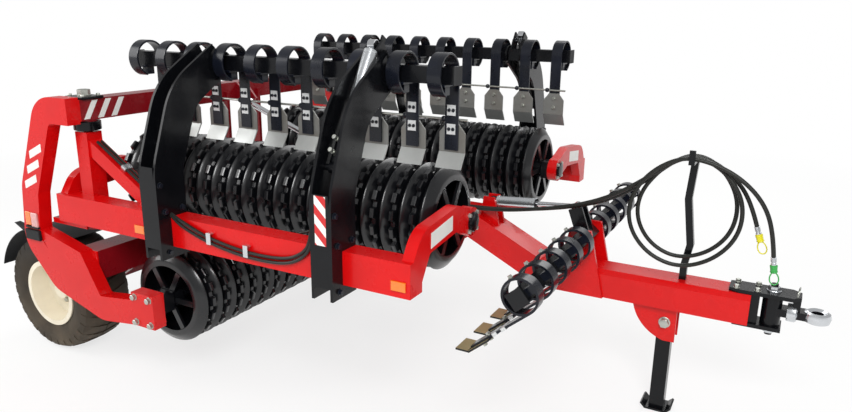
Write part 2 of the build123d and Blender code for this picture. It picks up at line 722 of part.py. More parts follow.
# Mudguards over the wheels, each on a bracket from its side arm
with BuildPart() as mudguard_right:
    with BuildSketch(Plane.XZ.offset(WHEEL_Y - MUDGUARD_W / 2)):
        with BuildLine():
            CenterArc((AXLE_X, WHEEL_Z), MUDGUARD_R, 62, 100)
        trace(line_width=5)
    extrude(amount=MUDGUARD_W)
    with BuildSketch(Plane.XZ.offset(SIDE_ARM_IN - 40)):
        Polygon(
            (AXLE_X - 180, 860),
            (AXLE_X + 110, 815),
            (AXLE_X + 110, 775),
            (AXLE_X - 60, 803),
            align=None,
        )
    extrude(amount=40)

# Main frame: two rails at the back, one box to the front
with BuildPart() as main_frame:
    with BuildSketch(Plane.XZ.offset(RAIL_IN), Plane.XZ.offset(-RAIL_IN - RAIL_T)):
        with BuildLine():
            Polyline(
                (TIP_X - 70, RAIL_Z0 + 40),
                (TIP_X + 60, RAIL_Z0),
                (RAIL_END_X, RAIL_Z0),
                (RAIL_END_X, RAIL_Z0 + RAIL_H),
                (TIP_X + 150, RAIL_Z0 + RAIL_H),
                (TIP_X + 60, TIP_Z + 50),
                (TIP_X - 50, TIP_Z + 50),
                (TIP_X - 70, TIP_Z),
                close=True,
            )
        make_face()
    extrude(amount=RAIL_T)
    with BuildSketch(Plane.XZ.offset(-DRAWBAR_W / 2)):
        with BuildLine():
            Polyline(
                (RAIL_END_X - 150, RAIL_Z0),
                (RAIL_END_X, RAIL_Z0),
                (DRAWBAR_KNEE_X, DRAWBAR_Z0),
                (DRAWBAR_END_X, DRAWBAR_Z0),
                (DRAWBAR_END_X, DRAWBAR_Z0 + DRAWBAR_H),
                (DRAWBAR_KNEE_X + 20, DRAWBAR_Z0 + DRAWBAR_H),
                (RAIL_END_X + 20, RAIL_Z0 + RAIL_H),
                (RAIL_END_X - 150, RAIL_Z0 + RAIL_H),
                close=True,
            )
        make_face()
    extrude(amount=DRAWBAR_W)
    with BuildSketch(Plane.XZ.offset(-RAIL_IN)):
        with Locations((TIP_X + 760, RAIL_Z0 + 50)):
            Rectangle(90, 90)
    extrude(amount=2 * RAIL_IN)
    with BuildSketch(Plane.XZ.offset(-UPRIGHT_Y - UPRIGHT_T)):
        with Locations((TIP_X, TIP_Z)):
            Circle(TIP_R)
    extrude(amount=2 * (UPRIGHT_Y + UPRIGHT_T))
    for y in (LUG_IN, -LUG_IN - LUG_T):
        with BuildSketch(Plane.XZ.offset(y)):
            Polygon(
                (CBASE[0] - 60, RAIL_Z0 + RAIL_H - 120),
                (CBASE[0] + 80, RAIL_Z0 + RAIL_H - 120),
                (CBASE[0] + 35, CBASE[1] + 35),
                (CBASE[0] - 35, CBASE[1] + 35),
                align=None,
            )
        extrude(amount=LUG_T)
        with BuildSketch(Plane.XZ.offset(y)):
            Polygon(
                (TIP_BASE[0] - 80, RAIL_Z0),
                (TIP_BASE[0] + 80, RAIL_Z0),
                (TIP_BASE[0] + 35, TIP_BASE[1] + 38),
                (TIP_BASE[0] - 35, TIP_BASE[1] + 38),
                align=None,
            )
        extrude(amount=LUG_T)
    with BuildSketch(Plane.XZ.offset(-RAIL_IN)):
        with Locations((TIP_BASE[0], RAIL_Z0 + 50)):
            Rectangle(120, 90)
    extrude(amount=2 * RAIL_IN)
    with BuildSketch(Plane.XY.offset(RAIL_Z0 + RAIL_H - 5)):
        with Locations((HOSE_EXIT[0] - HOSE_GAP - HOSE_BLOCK[0] / 2, HOSE_EXIT[1] - HOSE_SPREAD / 2)):
            Rectangle(HOSE_BLOCK[0], HOSE_BLOCK[1])
    extrude(amount=HOSE_BLOCK[2])
    with BuildSketch(Plane.XZ.offset(-LUG_IN - LUG_T)):
        with Locations(CBASE, TIP_BASE):
            Circle(PIVOT_R)
    extrude(amount=2 * (LUG_IN + LUG_T))
    with BuildSketch(Plane.XZ.offset(-LEG_W / 2 - LEG_GAP - LEG_PLATE_T)):
        with Locations((LEG_X, LEG_Z)):
            Circle(PIVOT_R)
    extrude(amount=LEG_W + 2 * (LEG_GAP + LEG_PLATE_T))
    for side in (1, -1):
        with BuildSketch(Plane.XZ.offset(side * (DRAWBAR_W / 2 + 10) - 10)):
            Polygon(
                (CBOARD_X - 150, DRAWBAR_Z0),
                (CBOARD_X + 150, DRAWBAR_Z0),
                (CBOARD_X + 60, CBOARD_Z + 60),
                (CBOARD_X - 60, CBOARD_Z + 60),
                align=None,
            )
            with Locations((CBOARD_X, CBOARD_Z)):
                Circle(BOARD_PIVOT_R + 0.5, mode=Mode.SUBTRACT)
        extrude(amount=20)
        with BuildSketch(Plane.XZ.offset(side * (LEG_W / 2 + LEG_GAP + LEG_PLATE_T / 2) - LEG_PLATE_T / 2)):
            with BuildLine():
                Polyline(
                    (LEG_X - 180, DRAWBAR_Z0),
                    (LEG_X + 60, DRAWBAR_Z0),
                    (LEG_X + 60, LEG_Z - 110),
                    (LEG_X, LEG_Z - 110),
                )
                ThreePointArc(
                    (LEG_X, LEG_Z - 110),
                    (LEG_X - 125, LEG_Z - 30),
                    (LEG_X - 180, DRAWBAR_Z0),
                )
            make_face()
        extrude(amount=LEG_PLATE_T)
        with BuildSketch(Plane.YZ.offset(DRAWBAR_KNEE_X + 120)):
            Polygon(
                (side * DRAWBAR_W / 2, DRAWBAR_Z0 + DRAWBAR_H),
                (side * (DRAWBAR_W / 2 - DRAWBAR_BEVEL), DRAWBAR_Z0 + DRAWBAR_H),
                (side * DRAWBAR_W / 2, DRAWBAR_Z0 + DRAWBAR_H - DRAWBAR_BEVEL),
                align=None,
            )
        extrude(amount=DRAWBAR_END_X - DRAWBAR_KNEE_X - 120, mode=Mode.SUBTRACT)

# Towing head: top and bottom plates, swivel block on its pin, towing eye
with BuildPart() as hitch:
    with BuildSketch(Plane.XY.offset(DRAWBAR_Z0 + DRAWBAR_H)):
        Polygon(
            (DRAWBAR_END_X - 110, -55),
            (DRAWBAR_END_X - 60, -70),
            (DRAWBAR_END_X + 190, -70),
            (DRAWBAR_END_X + 230, -40),
            (DRAWBAR_END_X + 230, 40),
            (DRAWBAR_END_X + 190, 70),
            (DRAWBAR_END_X - 60, 70),
            (DRAWBAR_END_X - 110, 55),
            align=None,
        )
    extrude(amount=HITCH_PLATE_T)
    with BuildSketch(Plane.XY.offset(DRAWBAR_Z0 - HITCH_PLATE_T)):
        with Locations((DRAWBAR_END_X + 40, 0)):
            Rectangle(230, 130)
    extrude(amount=HITCH_PLATE_T)
    with BuildSketch(Plane.XZ.offset(-50)):
        with Locations((DRAWBAR_END_X + 20, HITCH_Z)):
            Rectangle(40, DRAWBAR_H)
    extrude(amount=100)
    with BuildSketch(Plane.XY.offset(DRAWBAR_Z0)):
        with Locations((DRAWBAR_END_X + 100, 0)):
            Circle(48)
    extrude(amount=DRAWBAR_H)
    with BuildSketch(Plane.XY.offset(DRAWBAR_Z0 - 60)):
        with Locations((DRAWBAR_END_X + 100, 0)):
            Circle(18)
    extrude(amount=DRAWBAR_H + 120)
    with BuildSketch(Plane.XY.offset(HITCH_Z - 20)):
        with Locations((DRAWBAR_END_X + 185, 0)):
            Rectangle(170, 80)
        with Locations((HITCH_X, 0)):
            Circle(60)
            Circle(HITCH_R, mode=Mode.SUBTRACT)
    extrude(amount=40)
    with BuildSketch(Plane.XZ.offset(-30)):
        Polygon(
            (DRAWBAR_END_X + 190, DRAWBAR_Z0 + DRAWBAR_H),
            (DRAWBAR_END_X + 230, DRAWBAR_Z0 + DRAWBAR_H),
            (DRAWBAR_END_X + 230, HITCH_Z + 10),
            (DRAWBAR_END_X + 205, HITCH_Z + 10),
            align=None,
        )
    extrude(amount=60)

# Post with a hook for the hoses
with BuildPart() as hose_post:
    with BuildSketch(Plane.XZ.offset(-20)):
        with BuildLine():
            Polyline(
                (HOSE_X, DRAWBAR_Z0 + DRAWBAR_H + SEAT),
                (HOSE_X, DRAWBAR_Z0 + DRAWBAR_H + 80),
                (HOSE_X + 20, 1000),
                (HOSE_X - 15, 1250),
                (HOSE_X, HOOK_Z - HOSE_R - SEAT - 2),
            )
        trace(line_width=36)
    extrude(amount=40)
    with BuildSketch(Plane.YZ.offset(HOSE_X - 15)):
        with Locations((-HOOK_Y / 2, HOOK_Z - HOSE_R - SEAT - HOOK_T / 2)):
            Rectangle(HOOK_Y, HOOK_T)
        with Locations((-HOOK_Y - 6, HOOK_Z + 10)):
            Rectangle(12, 2 * (HOSE_R + SEAT + HOOK_T) + 20)
    extrude(amount=30)

# Free hoses from the block on the rail, over the hook and round in loops
def route(first, offsets):
    """Corner points of a hose: its exit, then points measured from the hook."""
    return [first] + [(HOSE_X + x, y, HOOK_Z + z) for x, y, z in offsets]


def bends(points):
    """Radius at each inner corner: as large as the two runs beside it allow."""
    radii = []
    for a, b, c in zip(points, points[1:], points[2:]):
        before = Vector(*b) - Vector(*a)
        after = Vector(*c) - Vector(*b)
        turn = before.get_angle(after) * pi / 180
        radii.append(0.45 * min(before.length, after.length) / tan(turn / 2))
    return radii


INNER = route(HOSE_EXIT, INNER_ROUTE)
OUTER = route((HOSE_EXIT[0], HOSE_EXIT[1] - HOSE_SPREAD, HOSE_EXIT[2]), OUTER_ROUTE)
with BuildPart() as hose_inner:
    with BuildLine() as inner_line:
        FilletPolyline(*INNER, radius=bends(INNER))
    with BuildSketch(inner_line.line ^ 0):
        Circle(HOSE_R)
    sweep()

with BuildPart() as hose_outer:
    with BuildLine() as outer_line:
        FilletPolyline(*OUTER, radius=bends(OUTER))
    with BuildSketch(outer_line.line ^ 0):
        Circle(HOSE_R)
    sweep()
for name, points, line, piece in (
    ("inner", INNER, inner_line, hose_inner),
    ("outer", OUTER, outer_line, hose_outer),
):
    length = sum(edge.length for edge in line.edges())
    share = piece.part.volume / (pi * HOSE_R**2 * length)
    print(name, "hose length", round(length), "volume share", round(share, 4))
    print("radii", [round(r) for r in bends(points)])

# Quick couplers with their handles, one on each free hose
with BuildPart() as hose_couplers:
    for points in (INNER, OUTER):
        end = Vector(*points[-1])
        way = (end - Vector(*points[-2])).normalized()
        with BuildSketch(Plane(origin=end, z_dir=way)):
            Circle(COUPLER_R)
        extrude(amount=COUPLER_L)
        ring = Plane(origin=end + way * (COUPLER_L + HANDLE_R - HANDLE_T), x_dir=way, z_dir=(0, 1, 0))
        with BuildSketch(ring.offset(-HANDLE_T / 2)):
            Ellipse(HANDLE_R + 10, HANDLE_R - 8)
            Ellipse(HANDLE_R + 10 - HANDLE_T, HANDLE_R - 8 - HANDLE_T, mode=Mode.SUBTRACT)
        extrude(amount=HANDLE_T)

# Pipes of the right wing: down the brace, along the beam, up the front boom
PIPE_Y = BEAM_IN - PIPE_R - 6
BRACE_SLOPE = (POST_TOP - 60 - BEAM_Z - BEAM_H + 20) / BRACE_X
BRACE_TOP = POST_TOP - 60 + 40 * (1 + BRACE_SLOPE**2) ** 0.5 + 2 * PIPE_R
with BuildPart() as wing_pipes_right:
    for k in (0, 1):
        y = -PIN_Y + 12 - 26 * k
        low = BEAM_Z + BEAM_H - 50 + 24 * k
        points = [
            (PIN_X + 90, y, BRACE_TOP - 90 * BRACE_SLOPE),
            (PIN_X + BRACE_X - 40, y, BRACE_TOP - (BRACE_X - 40) * BRACE_SLOPE),
            (PIN_X + BRACE_X + 110, y + 10, BEAM_Z + BEAM_H + 45 - 12 * k),
            (PIN_X + BRACE_X + 230, -PIPE_Y, low),
            (BOOM_X[1] - 260 - 30 * k, -PIPE_Y, low),
            (BOOM_X[1] - 90 + 20 * k, -PIPE_Y, low + 72),
            (BOOM_X[1] - 30, -PIPE_Y - 40 - 26 * k, low + 210),
            (BOOM_X[1] - 24, -PIPE_Y - 52 - 26 * k, BEAM_Z + 430),
            (BOOM_X[1] - 24, -PIPE_Y - 14 - 26 * k, BEAM_Z + 560),
        ]
        with BuildLine() as pipe_line:
            FilletPolyline(*points, radius=[min(r, 260) for r in bends(points)])
        with BuildSketch(pipe_line.line ^ 0):
            Circle(PIPE_R)
        sweep()
    with BuildSketch(Plane.YZ.offset(BOOM_X[1] - SEAT)):
        with Locations((-PIPE_Y - 27, BEAM_Z + 560)):
            Rectangle(60, 30)
    extrude(amount=-40)

# Parking leg, turning up to the rear
with BuildPart() as parking_leg:
    with BuildSketch(Plane.XY.offset(12)):
        with Locations((LEG_X, 0)):
            Rectangle(LEG_W, LEG_W)
    extrude(amount=LEG_Z + 40 - 12)
    with BuildSketch(Plane.XZ.offset(-65)):
        with BuildLine():
            Polyline(
                (LEG_X - 55 - TOE, 6 + TOE),
                (LEG_X - 55, 6),
                (LEG_X + 55, 6),
                (LEG_X + 55 + TOE, 6 + TOE),
            )
        trace(line_width=12)
    extrude(amount=130)
    with BuildSketch(Plane.XZ.offset(-LEG_W / 2)):
        with Locations((LEG_X, LEG_Z)):
            Circle(PIVOT_BORE)
    extrude(amount=LEG_W, mode=Mode.SUBTRACT)

# Centre spring board
with BuildPart() as centre_tube:
    with BuildSketch(Plane.XZ.offset(-CBOARD_HALF)):
        with Locations((CBOARD_X, CBOARD_Z)):
            Rectangle(BOARD_TUBE, BOARD_TUBE, rotation=CBOARD_LEAN)
    extrude(amount=2 * CBOARD_HALF)
    for side in (1, -1):
        with BuildSketch(Plane.XZ.offset(side * (DRAWBAR_W / 2 + 10) - 10 - BOARD_SIDE_GAP)):
            with Locations((CBOARD_X, CBOARD_Z)):
                Rectangle(BOARD_TUBE + 60, BOARD_TUBE + 60)
                Circle(BOARD_PIVOT_R, mode=Mode.SUBTRACT)
        extrude(amount=20 + 2 * BOARD_SIDE_GAP, mode=Mode.SUBTRACT)
    for y in (LUG_IN, -LUG_IN - LUG_T):
        with BuildSketch(Plane.XZ.offset(y)):
            with BuildLine():
                Polyline((CBOARD_X, CBOARD_Z), CEYE)
            trace(line_width=80)
        extrude(amount=LUG_T)

with BuildPart() as centre_tines:
    for y in CTINE_YS:
        with BuildSketch(Plane.XZ.offset(y - TINE_W / 2)):
            with Locations(Location((CBOARD_X, CBOARD_Z), -CBOARD_LEAN)):
                Circle(LOOP_R)
                Circle(LOOP_R - LOOP_T, mode=Mode.SUBTRACT)
                with Locations((LOOP_R - LOOP_T / 2, -LEG_L / 2)):
                    Rectangle(LOOP_T, LEG_L)
                with Locations((0, (LOOP_R - LOOP_T + BOARD_TUBE / 2) / 2)):
                    Rectangle(40, LOOP_R - LOOP_T - BOARD_TUBE / 2 + 4)
            with Locations((CBOARD_X, CBOARD_Z)):
                Rectangle(BOARD_TUBE, BOARD_TUBE, rotation=CBOARD_LEAN, mode=Mode.SUBTRACT)
        extrude(amount=TINE_W)
        with BuildSketch(Plane.XZ.offset(y - PLATE_W / 2)):
            with Locations(Location((CBOARD_X, CBOARD_Z), -CBOARD_LEAN)):
                with Locations((LOOP_R + PLATE_T / 2 - 1, -LEG_L + 50)):
                    Rectangle(PLATE_T, 130)
                with Locations((LOOP_R - 20, -LEG_L - 37)):
                    Rectangle(PLATE_T, 66, rotation=-40)
        extrude(amount=PLATE_W)

# Left-hand pieces mirror the right-hand ones
RIGHT = {
    "tyre": tyre_right,
    "rim": rim_right,
    "wing_rings": wing_rings_right,
    "wing_shaft": wing_shaft_right,
    "wing_beam": wing_beam_right,
    "wing_bearings": wing_bearings_right,
    "booms": booms_right,
    "board_tube": board_tube_right,
    "board_tines": board_tines_right,
    "board_plates": board_plates_right,
    "board_barrel": board_barrel_right,
    "board_rod": board_rod_right,
    "mudguard": mudguard_right,
    "wing_pipes": wing_pipes_right,
}
MIDDLE = {
    "centre_rings": centre_rings,
    "centre_shaft": centre_shaft,
    "rear_frame": rear_frame,
    "centre_bearings": centre_bearings,
    "main_frame": main_frame,
    "hitch": hitch,
    "hose_post": hose_post,
    "hose_inner": hose_inner,
    "hose_outer": hose_outer,
    "hose_couplers": hose_couplers,
    "parking_leg": parking_leg,
    "centre_tube": centre_tube,
    "centre_tines": centre_tines,
    "tip_barrel": tip_barrel,
    "tip_rod": tip_rod,
    "centre_barrel": centre_barrel,
    "centre_rod": centre_rod,
}
for name, piece in MIDDLE.items():
    piece.part.label = name
    export_step(piece.part, f"parts/{name}.step")
for name, piece in RIGHT.items():
    piece.part.label = f"{name}_right"
    export_step(piece.part, f"parts/{name}_right.step")
    twin = mirror(piece.part, about=Plane.XZ)
    twin.label = f"{name}_left"
    export_step(twin, f"parts/{name}_left.step")
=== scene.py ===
"""Folding land roller: finishes and fine pieces over the CAD frame.

Metres. +X points forwards to the towing eye, +Y to the machine's left, +Z up.
"""
import logging
import math
from collections.abc import Callable
from dataclasses import dataclass
from enum import Enum

import bmesh
import bpy
from mathutils import Matrix, Vector


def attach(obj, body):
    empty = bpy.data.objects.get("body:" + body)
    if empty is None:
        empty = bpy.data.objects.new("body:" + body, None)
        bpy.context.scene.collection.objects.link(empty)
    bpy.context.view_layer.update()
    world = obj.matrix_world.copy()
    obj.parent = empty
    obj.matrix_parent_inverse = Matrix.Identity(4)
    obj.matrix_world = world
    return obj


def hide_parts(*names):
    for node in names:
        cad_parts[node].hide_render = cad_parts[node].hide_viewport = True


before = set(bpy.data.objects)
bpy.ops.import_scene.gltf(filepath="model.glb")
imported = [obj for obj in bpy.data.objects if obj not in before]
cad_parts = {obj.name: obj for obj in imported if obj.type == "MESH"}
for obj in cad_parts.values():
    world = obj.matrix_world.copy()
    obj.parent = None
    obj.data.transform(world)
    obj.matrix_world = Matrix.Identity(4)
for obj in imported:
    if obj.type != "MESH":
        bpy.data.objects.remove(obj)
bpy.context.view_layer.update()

LOG = logging.getLogger("land_roller")
Point = tuple[float, float, float]
Flat = tuple[float, float]
MM = 0.001


class Side(Enum):
    """Right and left half of the machine, with the sign of Y."""

    RIGHT = -1
    LEFT = 1

    @property
    def word(self) -> str:
        """Name ending used by nodes and bodies."""
        return self.name.lower()


class Axis(Enum):
    """Direction that a flat outline is drawn out along."""

    X = 0
    Y = 1
    Z = 2

    def place(self, u: float, v: float, w: float) -> Vector:
        """Point with outline coordinates u, v at distance w along the axis."""
        return Vector([(w, u, v), (u, w, v), (u, v, w)][self.value])


class Grain(Enum):
    """Kind of small pattern in a finish."""

    PEEL = "orange peel of sprayed paint"
    CAST = "sand-cast grain"
    MOULDED = "moulded leather grain"
    DUSTY = "rubber with dust in its pores"


# Finishes

# Noise values between which tone and roughness change, and how far the roughness goes
TONE_BAND: Flat = (0.38, 0.72)
TONE_DETAIL = 4.0
TONE_BREAK = 0.6
ROUGH_BAND: Flat = (0.3, 0.7)
ROUGH_SPREAD: Flat = (0.86, 1.18)
COAT_ROUGH = 0.08
# Dry soil: its colour, the height in metres that it reaches, and the size of its patches
DUST_COLOUR = "8A7A64"
DUST_TOP = 0.8
DUST_PATCH_MM = 111.1
DUST_DETAIL = 5.0
# Octaves of the noise of each grain. Moulded grain is made of cells instead
GRAIN_DETAIL = {Grain.PEEL: 2.0, Grain.CAST: 6.0, Grain.DUSTY: 2.0}


def linear(code: str) -> tuple[float, float, float, float]:
    """Linear colour of an sRGB hex value.

    Args:
        code: six hex digits, such as "C81410".

    Returns:
        Red, green, blue and alpha for a shader socket.
    """
    parts = [int(code[i : i + 2], 16) / 255 for i in (0, 2, 4)]
    flat = [c / 12.92 if c <= 0.04045 else ((c + 0.055) / 1.055) ** 2.4 for c in parts]
    return (flat[0], flat[1], flat[2], 1.0)


def add_node(
    tree: bpy.types.NodeTree,
    kind: str,
    settings: dict | None = None,
    values: dict | None = None,
    links: dict | None = None,
) -> bpy.types.Node:
    """Adds a node with its settings, input values and links.

    Args:
        tree: node tree that gets the node.
        kind: node type.
        settings: attributes of the node.
        values: input values by name or index.
        links: output sockets that feed inputs, by name or index.

    Returns:
        The new node.
    """
    node = tree.nodes.new(kind)
    for key, value in (settings or {}).items():
        setattr(node, key, value)
    for key, value in (values or {}).items():
        node.inputs[key].default_value = value
    for key, socket in (links or {}).items():
        tree.links.new(socket, node.inputs[key])
    return node


@dataclass(frozen=True)
class Finish:
    """One surface finish and the real sizes of its pattern.

    grain_mm is the size of the small relief, tone_mm that of the slow change of tone.
    """

    name: str
    colour: str
    second: str
    rough: float
    metallic: float = 0.0
    coat: float = 0.0
    grain: Grain = Grain.PEEL
    grain_mm: float = 3.0
    relief: float = 0.05
    tone_mm: float = 160.0
    tone: float = 0.35
    dust: float = 0.0
    specular: float = 0.5

    def build(self) -> bpy.types.Material:
        """Makes the material with its nodes.

        Returns:
            The material.
        """
        mat = bpy.data.materials.new(self.name)
        mat.use_nodes = True
        tree = mat.node_tree
        tree.nodes.clear()
        spot = add_node(tree, "ShaderNodeTexCoord").outputs["Object"]
        slow = add_node(
            tree,
            "ShaderNodeTexNoise",
            values={"Scale": 1 / (self.tone_mm * MM), "Detail": TONE_DETAIL, "Roughness": TONE_BREAK},
            links={"Vector": spot},
        ).outputs["Fac"]
        amount = self.ranged(tree, slow, TONE_BAND, (0.0, self.tone))
        colour = add_node(
            tree,
            "ShaderNodeMix",
            settings={"data_type": "RGBA"},
            values={6: linear(self.colour), 7: linear(self.second)},
            links={0: amount},
        ).outputs[2]
        if self.dust:
            colour = self.dusted(tree, spot, colour)
        low, high = self.rough * ROUGH_SPREAD[0], min(1.0, self.rough * ROUGH_SPREAD[1])
        rough = self.ranged(tree, slow, ROUGH_BAND, (low, high))
        bump = add_node(
            tree,
            "ShaderNodeBump",
            values={"Strength": self.relief, "Distance": self.grain_mm * MM},
            links={"Height": self.fine_pattern(tree, spot)},
        ).outputs["Normal"]
        shader = add_node(
            tree,
            "ShaderNodeBsdfPrincipled",
            values={
                "Metallic": self.metallic,
                "Specular IOR Level": self.specular,
                "Coat Weight": self.coat,
                "Coat Roughness": COAT_ROUGH,
            },
            links={"Base Color": colour, "Roughness": rough, "Normal": bump},
        )
        add_node(tree, "ShaderNodeOutputMaterial", links={"Surface": shader.outputs["BSDF"]})
        return mat

    def ranged(
        self, tree: bpy.types.NodeTree, value: bpy.types.NodeSocket, given: Flat, wanted: Flat
    ) -> bpy.types.NodeSocket:
        """Spreads a value from one range to another.

        Args:
            tree: node tree of the material.
            value: socket that is spread.
            given: lowest and highest value that comes in.
            wanted: what those two become.

        Returns:
            The socket with the result.
        """
        return add_node(
            tree,
            "ShaderNodeMapRange",
            values={
                "From Min": given[0],
                "From Max": given[1],
                "To Min": wanted[0],
                "To Max": wanted[1],
            },
            links={"Value": value},
        ).outputs["Result"]

    def fine_pattern(self, tree: bpy.types.NodeTree, spot: bpy.types.NodeSocket) -> bpy.types.NodeSocket:
        """Small relief of the surface at its real scale.

        Args:
            tree: node tree.
            spot: place on the surface.

        Returns:
            The relief's height.
        """
        scale = 1 / (self.grain_mm * MM)
        if self.grain is Grain.MOULDED:
            return add_node(
                tree,
                "ShaderNodeTexVoronoi",
                values={"Scale": scale, "Randomness": 1.0},
                links={"Vector": spot},
            ).outputs["Distance"]
        return add_node(
            tree,
            "ShaderNodeTexNoise",
            values={"Scale": scale, "Detail": GRAIN_DETAIL[self.grain]},
            links={"Vector": spot},
        ).outputs["Fac"]

    def dusted(
        self, tree: bpy.types.NodeTree, spot: bpy.types.NodeSocket, colour: bpy.types.NodeSocket
    ) -> bpy.types.NodeSocket:
        """Dry soil dust that thins out with height and breaks up in patches.

        Args:
            tree: node tree.
            spot: place on the surface.
            colour: colour under the dust.

        Returns:
            The dusty colour.
        """
        height = add_node(tree, "ShaderNodeSeparateXYZ", links={"Vector": spot}).outputs["Z"]
        low = self.ranged(tree, height, (0.0, DUST_TOP), (self.dust, 0.0))
        patch = add_node(
            tree,
            "ShaderNodeTexNoise",
            values={"Scale": 1 / (DUST_PATCH_MM * MM), "Detail": DUST_DETAIL},
            links={"Vector": spot},
        ).outputs["Fac"]
        share = add_node(tree, "ShaderNodeMath", settings={"operation": "MULTIPLY"}, links={0: low, 1: patch})
        return over(tree, share.outputs[0], colour, DUST_COLOUR)


def over(
    tree: bpy.types.NodeTree, share: bpy.types.NodeSocket, ground: bpy.types.NodeSocket, code: str
) -> bpy.types.NodeSocket:
    """Lays a colour over what is there.

    Args:
        tree: node tree of the material.
        share: how much of the colour shows.
        ground: colour below it.
        code: the colour, in sRGB hex digits.

    Returns:
        The mixed colour.
    """
    return add_node(
        tree,
        "ShaderNodeMix",
        settings={"data_type": "RGBA"},
        values={7: linear(code)},
        links={0: share, 6: ground},
    ).outputs[2]


@dataclass(frozen=True)
class TwoToneFrame(Finish):
    """Paint of the rear frame: bright side arms, and the cross beams between them darkened as painted shade.
    """

    # inner is the darker red of the painted shade, laid where |Y| is below edge_y
    inner: str = "7E0D16"
    edge_y: float = 1.292

    def build(self) -> bpy.types.Material:
        """Makes the paint, then darkens what lies between the side arms as painted shade.

        Returns:
            The material.
        """
        mat = super().build()
        tree = mat.node_tree
        shader = next(n for n in tree.nodes if n.type == "BSDF_PRINCIPLED")
        paint = shader.inputs["Base Color"].links[0].from_socket
        spot = add_node(tree, "ShaderNodeTexCoord").outputs["Object"]
        across = add_node(tree, "ShaderNodeSeparateXYZ", links={"Vector": spot}).outputs["Y"]
        away = add_node(tree, "ShaderNodeMath", settings={"operation": "ABSOLUTE"}, links={0: across})
        inside = add_node(
            tree,
            "ShaderNodeMath",
            settings={"operation": "LESS_THAN"},
            values={1: self.edge_y},
            links={0: away.outputs[0]},
        )
        # Painted shade: the darker red goes over the cross beams between the side arms
        tree.links.new(over(tree, inside.outputs[0], paint, self.inner), shader.inputs["Base Color"])
        return mat


@dataclass(frozen=True)
class StripedFilm(Finish):
    """Reflective film with slanted stripes.

    pitch_mm is the pitch of the stripes, counted along way, and filled the coloured share of it.
    """

    stripe: str = "C2161A"
    pitch_mm: float = 90.0
    way: Point = (1.0, 0.6, 1.0)
    filled: float = 0.5

    def build(self) -> bpy.types.Material:
        """Makes the film, with stripes across X, Y and Z together.

        Returns:
            The material.
        """
        mat = super().build()
        tree = mat.node_tree
        shader = next(n for n in tree.nodes if n.type == "BSDF_PRINCIPLED")
        ground = shader.inputs["Base Color"].links[0].from_socket
        spot = add_node(tree, "ShaderNodeTexCoord").outputs["Object"]
        run = add_node(
            tree,
            "ShaderNodeVectorMath",
            settings={"operation": "DOT_PRODUCT"},
            values={1: self.way},
            links={0: spot},
        ).outputs["Value"]
        turns = add_node(
            tree,
            "ShaderNodeMath",
            settings={"operation": "MULTIPLY"},
            values={1: 1 / (self.pitch_mm * MM)},
            links={0: run},
        )
        phase = add_node(tree, "ShaderNodeMath", settings={"operation": "FRACT"}, links={0: turns.outputs[0]})
        striped = add_node(
            tree,
            "ShaderNodeMath",
            settings={"operation": "GREATER_THAN"},
            values={1: 1 - self.filled},
            links={0: phase.outputs[0]},
        )
        tree.links.new(over(tree, striped.outputs[0], ground, self.stripe), shader.inputs["Base Color"])
        return mat


